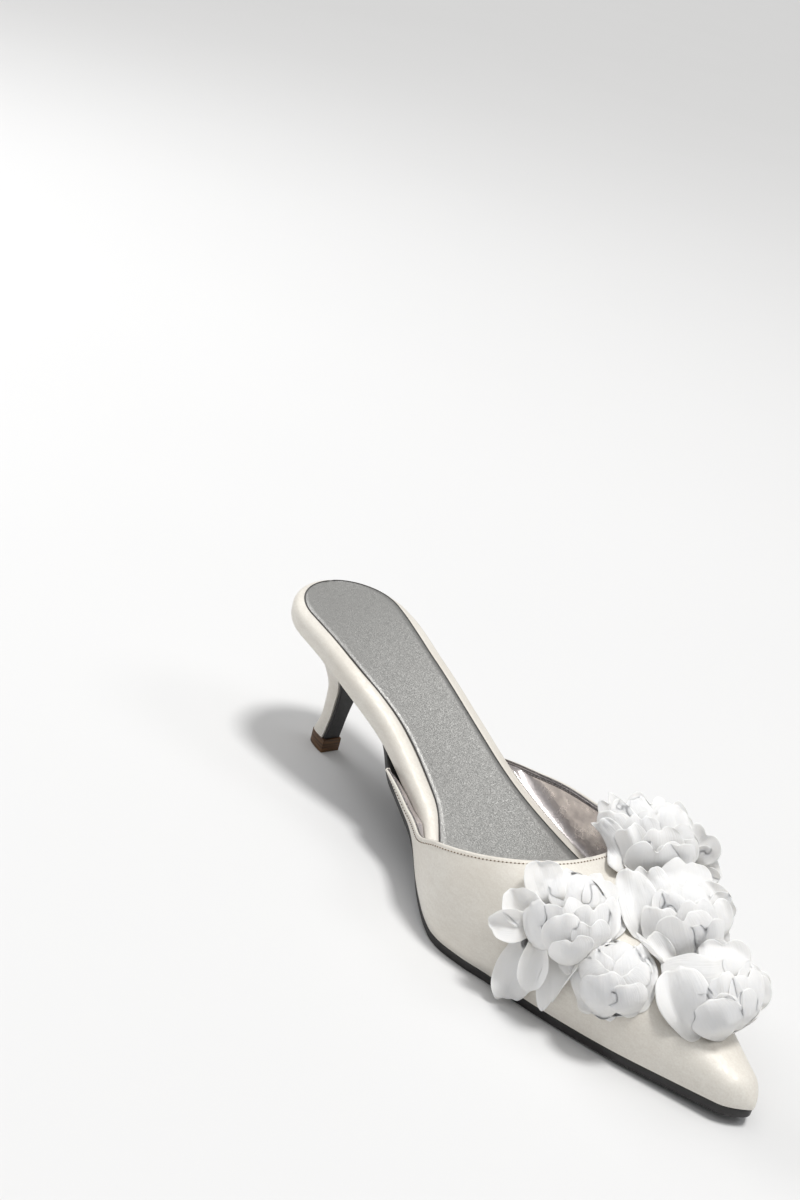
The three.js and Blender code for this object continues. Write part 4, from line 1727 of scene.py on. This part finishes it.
INNER_PETALS = (
    LaidPetal((0.15, -0.05), (0.15, 0.75), 0.45, -0.15, 0.1, 0.1, 0.1),
    LaidPetal((0.4, -0.05), (0.75, 0.65), 0.35, -0.15, 0.1, 0.1, 0.05),
    LaidPetal((0.45, -0.25), (1.0, 0.1), 0.35, -0.15, 0.1, 0.1, 0.0),
    LaidPetal((-0.2, 0.1), (-0.4, 0.95), 0.35, -0.1, 0.2, 0.15, 0.0),
    LaidPetal((-0.4, -0.25), (-0.9, 0.45), 0.35, -0.1, 0.2, 0.25, 0.0),
    LaidPetal((-0.4, -0.15), (-1.25, -0.1), 0.3, -0.05, 0.2, 0.25, 0.0),
    LaidPetal((-0.55, -0.2), (-1.0, -1.45), 0.35, -0.1, 0.05, 0.05, 0.0),
    LaidPetal((-0.4, -0.2), (-0.65, -1.2), 0.25, 0.0, 0.15, 0.3, 0.0),
    LaidPetal((-0.05, -0.3), (-0.1, -1.65), 0.4, -0.05, 0.15, 0.25, 0.1),
    LaidPetal((0.3, -0.2), (0.7, -0.75), 0.35, -0.05, 0.1, 0.1, 0.1),
    LaidPetal((0.05, -0.3), (0.3, -0.85), 0.35, -0.05, 0.05, 0.05, 0.1),
    LaidPetal((-0.2, -0.75), (-0.5, 0.3), 0.3, 0.0, 0.05, -0.1, 0.0),
    LaidPetal((0.55, -0.65), (0.75, 0.35), 0.3, 0.0, 0.05, -0.1, 0.0),
    LaidPetal((0.1, -0.55), (-0.1, 0.4), 0.4, 0.0, 0.05, -0.05, 0.1),
    LaidPetal((0.4, -0.5), (0.45, 0.35), 0.35, 0.0, 0.05, -0.05, 0.1),
    LaidPetal((-0.1, -0.7), (-0.05, 0.2), 0.35, 0.05, 0.05, -0.05, 0.0),
    LaidPetal((0.45, -0.7), (0.35, 0.1), 0.35, 0.05, 0.05, -0.05, 0.1),
    LaidPetal((0.15, -0.8), (0.05, -0.15), 0.4, 0.1, 0.05, -0.05, 0.15),
)
BUD_PETALS = (
    LaidPetal((0.0, -0.15), (-0.05, 0.75), 0.6, -0.05, 0.05, 0.0, 0.0),
    LaidPetal((0.85, -0.65), (0.55, 0.7), 0.3, 0.0, 0.1, 0.05, 0.0),
    LaidPetal((-0.6, -1.0), (-0.4, 0.6), 0.6, 0.0, 0.05, -0.05, 0.0),
    LaidPetal((0.65, -0.9), (0.3, 0.6), 0.65, 0.05, 0.05, -0.05, 0.0),
    LaidPetal((-0.85, -0.4), (-0.2, 0.25), 0.5, 0.05, 0.05, -0.05, 0.0),
    LaidPetal((0.85, -0.55), (0.2, 0.2), 0.5, 0.05, 0.05, -0.05, 0.0),
    LaidPetal((-0.25, -1.1), (-0.35, 0.2), 0.55, 0.1, 0.05, -0.05, 0.0),
    LaidPetal((0.4, -1.0), (0.15, -0.05), 0.5, 0.1, 0.05, -0.05, 0.0),
)
TOE_PETALS = (
    LaidPetal((0.2, 0.15), (0.15, 1.0), 0.5, -0.05, 0.05, 0.0, 0.1),
    LaidPetal((0.45, -0.15), (0.8, 0.5), 0.4, -0.05, 0.05, 0.0, 0.0),
    LaidPetal((0.4, 0.55), (-0.95, 0.3), 0.35, 0.05, 0.05, 0.0, 0.0),
    LaidPetal((0.7, -0.5), (0.7, 0.35), 0.35, 0.0, 0.05, 0.05, 0.0),
    LaidPetal((0.5, -0.6), (0.5, 0.5), 0.4, 0.05, 0.05, 0.05, 0.05),
    LaidPetal((0.15, -0.55), (0.0, 0.5), 0.35, 0.05, 0.05, 0.05, 0.0),
    LaidPetal((0.45, -0.65), (0.25, 0.2), 0.4, 0.05, 0.05, 0.0, 0.1),
    LaidPetal((-0.2, -0.8), (-0.15, 0.2), 0.45, 0.05, 0.05, 0.0, 0.1),
    LaidPetal((-0.45, -0.8), (-0.75, 0.5), 0.5, 0.1, 0.05, -0.1, 0.0),
    LaidPetal((0.15, -0.8), (-0.25, 0.05), 0.5, 0.1, 0.05, -0.1, 0.0),
)


@dataclass(frozen=True)
class Bloom:
    """One cloth bloom on the vamp. at, to, up and size are the CAD part's shares."""

    name: str
    node: str
    at: float
    to: float
    up: float
    size: float
    seed: int
    rings: tuple[Ring, ...]
    opens: tuple[float, float, float]
    head: tuple[float, float, float]
    heart: float
    laid: tuple[LaidPetal, ...] = ()
    stretch: tuple[float, float, float] = (1.0, 1.0, 1.0)

    def radius(self, last: Last) -> float:
        """The bloom's radius."""
        return last.instep * self.size

    def middle(self, last: Last) -> Vector:
        """The bloom's middle."""
        x = last.throat + last.throat_to_toe * self.at
        return Vector((x, last.width * self.to, last.bottom(x) + last.instep * self.up))

    def crown(self, last: Last) -> Vector:
        """The middle of the bloom's round head: head holds its shares of RIGHT and UP, and its size."""
        return self.middle(last) + (RIGHT * self.head[0] + UP * self.head[1]) * self.radius(last)

    def dome(self, q: Vector) -> float:
        """How far the head stands towards FRONT at a place of the facing plane.

        Args:
            q: shares of RIGHT and UP from the bloom's middle.

        Returns:
            The height as a share of the radius.
        """
        away = (q - Vector(self.head[:2])).length / self.head[2]
        return self.head[2] * math.sqrt(max(0.0, 1 - away * away)) - 0.25 * ease(away, 0.9, 1.5)

    def facing(self) -> Vector:
        """The way the bloom opens: opens holds shares of FRONT, RIGHT and UP."""
        return (FRONT * self.opens[0] + RIGHT * self.opens[1] + UP * self.opens[2]).normalized()


BLOOMS = (
    Bloom(
        "collar_bloom", "bloom_collar", 0.03, 0.31, 0.98, 0.56, 3,
        HEAD_RINGS, (0.7, 0.1, 0.7), (-0.14, 0.12, 0.68), 0.62, COLLAR_PETALS,
    ),
    Bloom(
        "crest_bloom", "bloom_crest", 0.35, 0.13, 0.80, 0.48, 11,
        HEAD_RINGS, (0.8, 0.2, 0.6), (0.0, 0.0, 0.76), 0.62, CREST_PETALS,
    ),
    Bloom(
        "inner_bloom", "bloom_inner", 0.15, -0.30, 0.72, 0.47, 5,
        HEAD_RINGS, (1.0, 0.0, 0.25), (0.14, -0.06, 0.74), 0.60, INNER_PETALS,
    ),
    Bloom(
        "inner_bud", "bud_inner", 0.42, -0.26, 0.56, 0.32, 7,
        BUD_RINGS, (1.0, -0.2, 0.2), (0.0, -0.12, 0.88), 0.80, BUD_PETALS,
    ),
    Bloom(
        "toe_bud", "bud_toe", 0.66, 0.04, 0.60, 0.42, 9,
        BUD_RINGS, (1.0, 0.1, 0.2), (0.0, -0.02, 0.86), 0.78, TOE_PETALS, (1.0, 1.10, 0.92),
    ),
)


@dataclass
class Bouquet:
    """The five blooms, each made of thin cupped petals that press on their neighbours."""

    last: Last
    upper: Upper
    dress: Wardrobe
    blooms: tuple[Bloom, ...] = BLOOMS
    root: float = 0.5
    cloth: float = 0.14 * MM
    clear: float = 0.35 * MM
    give: float = 3.0 * MM
    nearby: float = 20 * MM
    layer: float = 0.012
    across: int = 14
    along: int = 14
    spine: int = 16
    ray: float = 0.15
    corner: float = 2.7
    bedding: float = 0.08
    drape: float = 0.3
    blend: float = 0.02
    crumple: float = 0.035
    tuck: float = 0.3

    def settled(self, p: Vector, bloom: Bloom) -> Vector:
        """A petal's point after it has pressed on its neighbours and come to rest over the vamp.

        Args:
            p: the free point.
            bloom: that it belongs to.

        Returns:
            The settled point.
        """
        here = bloom.middle(self.last)
        for other in self.blooms:
            if other is bloom:
                continue
            toward = other.middle(self.last) - here
            share = bloom.size / (bloom.size + other.size)
            excess = (p - here).dot(toward.normalized()) - toward.length * share
            if excess > 0:
                kept = self.give * (1 - math.exp(-excess / self.give))
                p = p - toward.normalized() * (excess - kept)
        hit, normal, _, distance = self.upper.cover.find_nearest(p)
        proud = (p - hit).dot(normal)
        if proud < self.clear and distance < self.nearby:
            p = p + normal * (self.clear - proud)
        return p

    def depths(self, points: Sequence[Vector], start: float = 0.0) -> list[float]:
        """How far the vamp lies towards FRONT from each point of a row.

        A point that meets no vamp takes the value of the point before it.

        Args:
            points: the row.
            start: the value before any point meets the vamp.

        Returns:
            One distance for each point.
        """
        found = []
        for p in points:
            hit = self.upper.cover.ray_cast(p + FRONT * self.ray, -FRONT)[0]
            start = start if hit is None else (hit - p).dot(FRONT)
            found.append(start)
        return found

    def ring_petal(
        self, bm: bmesh.types.BMesh, bloom: Bloom, ring: Ring, k: int, rng: random.Random
    ) -> None:
        """Adds one cupped petal of a ring.

        Args:
            bm: the mesh to add to.
            bloom: that it belongs to.
            ring: its ring.
            k: its number in the ring.
            rng: the bloom's own seeded numbers.
        """
        radius = bloom.radius(self.last)
        turn = bloom.facing().to_track_quat("Z", "Y")
        middle = bloom.crown(self.last)
        radius *= bloom.head[2]
        azimuth = 2 * math.pi * (k + ring.turn + rng.uniform(-0.12, 0.12)) / ring.count
        rise = ring.rise + rng.uniform(-0.13, 0.10)
        span = ring.span * math.pi / ring.count * rng.uniform(0.9, 1.12)
        lean = rng.uniform(-0.05, 0.05)
        phase = [rng.uniform(0, 2 * math.pi) for _ in range(4)]
        notch = rng.uniform(0.0, 0.12)
        curl = rng.uniform(-0.04, 0.02) + ring.flare * 0.5
        reach = ring.reach * rng.uniform(0.96, 1.04)

        def place(u: float, v: float) -> Vector:
            """A point of the petal.

            Args:
                u: share across.
                v: share along.

            Returns:
                The point.
            """
            s = 2 * u - 1
            edge = v**4 * (
                0.05 * math.sin(4.4 * s + phase[0]) + 0.014 * math.sin(13 * s + phase[1])
            ) - notch * v**5 * bell(s, 0.0, 0.22)
            polar = self.root + (rise - self.root) * v * (1 - 0.17 * s * s + lean * s) + edge
            broad = math.sin(math.pi * (0.17 + 0.6 * v))
            cup = math.sin(math.pi / 2 * min(1.0, 1.6 * v))
            out = reach * (1 + cup) / 2 + ring.flare * v * v + ring.overlap * s
            out += ring.ruffle * v**3 * math.sin(4.2 * s + phase[2])
            crumple = noise.noise(Vector((2.2 * s + 9 * phase[0], 2.0 * v, phase[1])))
            out += 0.05 * (0.25 - abs(crumple)) * ease(v, 0.1, 0.5)
            out += curl * ease(v, 0.72, 1.0)
            at = azimuth + span * s * broad
            local = Vector(
                (
                    math.sin(polar) * math.cos(at),
                    math.sin(polar) * math.sin(at),
                    -math.cos(polar),
                )
            )
            away = turn @ (local * out * radius)
            shape = zip((FRONT, RIGHT, UP), bloom.stretch)
            return self.settled(middle + sum((d * away.dot(d) * k for d, k in shape), Vector()), bloom)

        drawn_sheet(bm, self.across, self.along, place)

    def laid_petal(self, bm: bmesh.types.BMesh, bloom: Bloom, k: int, rng: random.Random) -> None:
        """Adds one petal of the ones listed one by one.

        Args:
            bm: the mesh to add to.
            bloom: that it belongs to.
            k: its number among the bloom's laid petals, from the back.
            rng: the bloom's own seeded numbers.
        """
        petal = bloom.laid[k]
        radius = bloom.radius(self.last)
        middle = bloom.middle(self.last)
        root, line = Vector(petal.root), Vector(petal.tip) - Vector(petal.root)
        aside = Vector((line.y, -line.x)).normalized()
        phase = [rng.uniform(0, 2 * math.pi) for _ in range(3)]
        row = [root + line * (i / self.spine) for i in range(self.spine + 1)]
        spine = self.depths([middle + (RIGHT * q.x + UP * q.y) * radius for q in row])

        def place(u: float, v: float) -> Vector:
            """A point of the petal.

            Args:
                u: share across.
                v: share along.

            Returns:
                The point.
            """
            s, t = 2 * u - 1, 2 * v - 1
            x, y = s * math.sqrt(1 - t * t / 2), t * math.sqrt(1 - s * s / 2)
            far = math.hypot(x, y)
            power = self.corner
            square = far / (abs(x) ** power + abs(y) ** power) ** (1 / power) if far > 1e-6 else 1.0
            x, y = x * square, (1 + y * square) / 2
            rim = max(abs(s), t) if t > -abs(s) else abs(s) * (1 + t)
            rim = max(0.0, rim) ** 3
            around = math.atan2(x, y - 0.4)
            wave = 0.035 * math.sin(3 * around + phase[0]) + 0.012 * math.sin(9 * around + phase[1])
            grown = 1 + rim * wave
            grown -= rim * petal.notch * bell(x, 0.0, 0.16) * ease(y, 0.6, 1.0)
            taper = 0.5 + 0.5 * ease(y, 0.0, 0.6)
            q = root + line * y * grown + aside * (x * petal.wide * taper * grown)
            free = middle + (RIGHT * q.x + UP * q.y) * radius
            rest = spine[round(self.spine * clamp(y))]
            here = self.depths([free], rest)[0]
            most = self.drape * radius
            low = (rest + clamp(here - rest, -most, most)) / radius + self.bedding
            gap = bloom.dome(q) - low
            bed = low + (gap + math.sqrt(gap * gap + self.blend)) / 2
            crumple = noise.noise(Vector((2.2 * x + phase[2], 2.6 * y, phase[0])))
            high = petal.over + petal.lift * y * y + petal.cup * x * x * (0.25 + 0.75 * y)
            high += self.crumple * crumple * ease(y, 0.0, 0.5) + self.layer * k
            high += rim * 0.03 * math.sin(4 * around + phase[2]) - self.tuck * (1 - ease(y, 0.0, 0.4))
            return self.settled(free + FRONT * (bed + high) * radius, bloom)

        drawn_sheet(bm, self.across, self.along, place)

    def heart(self, bm: bmesh.types.BMesh, bloom: Bloom) -> None:
        """Adds the crumpled cloth at a bloom's heart.

        Args:
            bm: the mesh to add to.
            bloom: that it belongs to.
        """
        made = bmesh.ops.create_icosphere(
            bm, subdivisions=4, radius=bloom.radius(self.last) * bloom.head[2] * bloom.heart
        )["verts"]
        middle = bloom.crown(self.last)
        for vert in made:
            fold = noise.noise(vert.co * 230 + Vector((bloom.seed, 0, 0)))
            vert.co = middle + vert.co * (1.05 - 0.55 * abs(fold))

    def build_bloom(self, bloom: Bloom) -> None:
        """Makes one bloom of its petals.

        Args:
            bloom: which one.
        """
        rng = random.Random(bloom.seed)
        bm = bmesh.new()
        bm.loops.layers.uv.new("weave")
        self.heart(bm, bloom)
        for ring in bloom.rings:
            for k in range(ring.count):
                self.ring_petal(bm, bloom, ring, k, rng)
        for k in range(len(bloom.laid)):
            self.laid_petal(bm, bloom, k, rng)
        bmesh.ops.recalc_face_normals(bm, faces=bm.faces)
        piece = placed(bm, bloom.name, self.dress.petals, Slot.FLOWER, (bloom.node,), 3.0)
        softened(piece)
        walled(piece, self.cloth, 0.0)

    def build(self) -> None:
        """Makes every bloom."""
        for bloom in self.blooms:
            self.build_bloom(bloom)


# Studio


@dataclass(frozen=True)
class Panel:
    """A square soft panel that points at the shoe, with its side in metres and its power in watts."""

    name: str
    place: tuple[float, float, float]
    side: float
    power: float


PANELS = (
    Panel("overhead", (0.3, -0.5, 1.8), 2.0, 7.0),
    Panel("left", (-1.2, -0.1, 0.95), 0.7, 5.5),
    Panel("side", (0.75, 0.75, 1.2), 0.5, 2.5),
    Panel("card", (-1.0, -1.0, 0.5), 0.3, 1.0),
)


@dataclass
class Studio:
    """Floor, lights and the camera."""

    paper: StudioPaper = StudioPaper()
    eye: Vector = field(default_factory=lambda: Vector((0.36079, -0.43064, 0.34497)))
    look: Vector = field(default_factory=lambda: Vector((-0.67540, 0.62434, -0.39248)))
    head: Vector = field(default_factory=lambda: Vector((-0.45273, 0.06907, 0.88897)))
    lens: float = 56.03
    sensor: float = 36.0
    sky: float = 0.3
    key: float = 2.0
    key_angle: float = 0.22
    key_from: Vector = field(default_factory=lambda: Vector((0.14, 0.08, 1.0)))

    def build_floor(self) -> None:
        """Lays the pale floor."""
        bm = bmesh.new()
        bmesh.ops.create_grid(bm, x_segments=8, y_segments=8, size=9.0)
        data = bpy.data.meshes.new("floor")
        bm.to_mesh(data)
        bm.free()
        data.materials.append(self.paper.material())
        floor = bpy.data.objects.new("floor", data)
        bpy.context.scene.collection.objects.link(floor)

    def aimed(self, data: bpy.types.Light, place: Vector) -> None:
        """Hangs a lamp at a place and turns it to the shoe.

        Args:
            data: the lamp.
            place: where it hangs.
        """
        light = bpy.data.objects.new(data.name, data)
        light.location = place
        light.rotation_euler = (Vector((0, 0, 0.02)) - place).to_track_quat("-Z", "Y").to_euler()
        bpy.context.scene.collection.objects.link(light)

    def build_key(self) -> None:
        """Hangs the broad even key light, high on the toe's side."""
        data = bpy.data.lights.new("key", "SUN")
        data.energy = self.key
        data.angle = self.key_angle
        data.color = (1.0, 0.99, 0.97)
        self.aimed(data, self.key_from)

    def build_panel(self, panel: Panel) -> None:
        """Hangs one soft panel.

        Args:
            panel: its name, place, side and power.
        """
        data = bpy.data.lights.new(panel.name, "AREA")
        data.size = panel.side
        data.energy = panel.power
        self.aimed(data, Vector(panel.place))

    def build_sky(self) -> None:
        """Fills the room with even light."""
        world = bpy.data.worlds.new("room")
        world.use_nodes = True
        ground = world.node_tree.nodes["Background"]
        ground.inputs["Color"].default_value = (1.0, 1.0, 1.0, 1.0)
        ground.inputs["Strength"].default_value = self.sky
        bpy.context.scene.world = world

    def build_camera(self) -> None:
        """Sets the camera at the photograph's view, and plain sRGB tones."""
        bpy.context.scene.view_settings.view_transform = "Standard"
        data = bpy.data.cameras.new("camera")
        data.lens = self.lens
        data.sensor_width = self.sensor
        data.sensor_fit = "AUTO"
        data.clip_start = 0.01
        camera = bpy.data.objects.new("camera", data)
        back = -self.look.normalized()
        right = self.head.cross(back).normalized()
        up = back.cross(right)
        turn = Matrix((right, up, back)).transposed().to_4x4()
        camera.matrix_world = Matrix.Translation(self.eye) @ turn
        bpy.context.scene.collection.objects.link(camera)
        bpy.context.scene.camera = camera

    def build(self) -> None:
        """Makes the studio."""
        self.build_camera()
        self.build_floor()
        self.build_sky()
        self.build_key()
        for panel in PANELS:
            self.build_panel(panel)


def main() -> None:
    """Builds the shoe piece by piece, then the studio round it."""
    logging.basicConfig(level=logging.INFO, format="%(name)s %(message)s")
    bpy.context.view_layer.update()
    last = Last()
    dress = Wardrobe()
    studio = Studio()
    studio.build()
    Footbed(last, dress).build()
    heel = Heel(last, dress)
    heel.build()
    Sole(last, heel, dress).build()
    upper = Upper(last, dress)
    upper.build()
    Bouquet(last, upper, dress).build()
    bpy.context.view_layer.update()


if __name__ == "__main__":
    main()
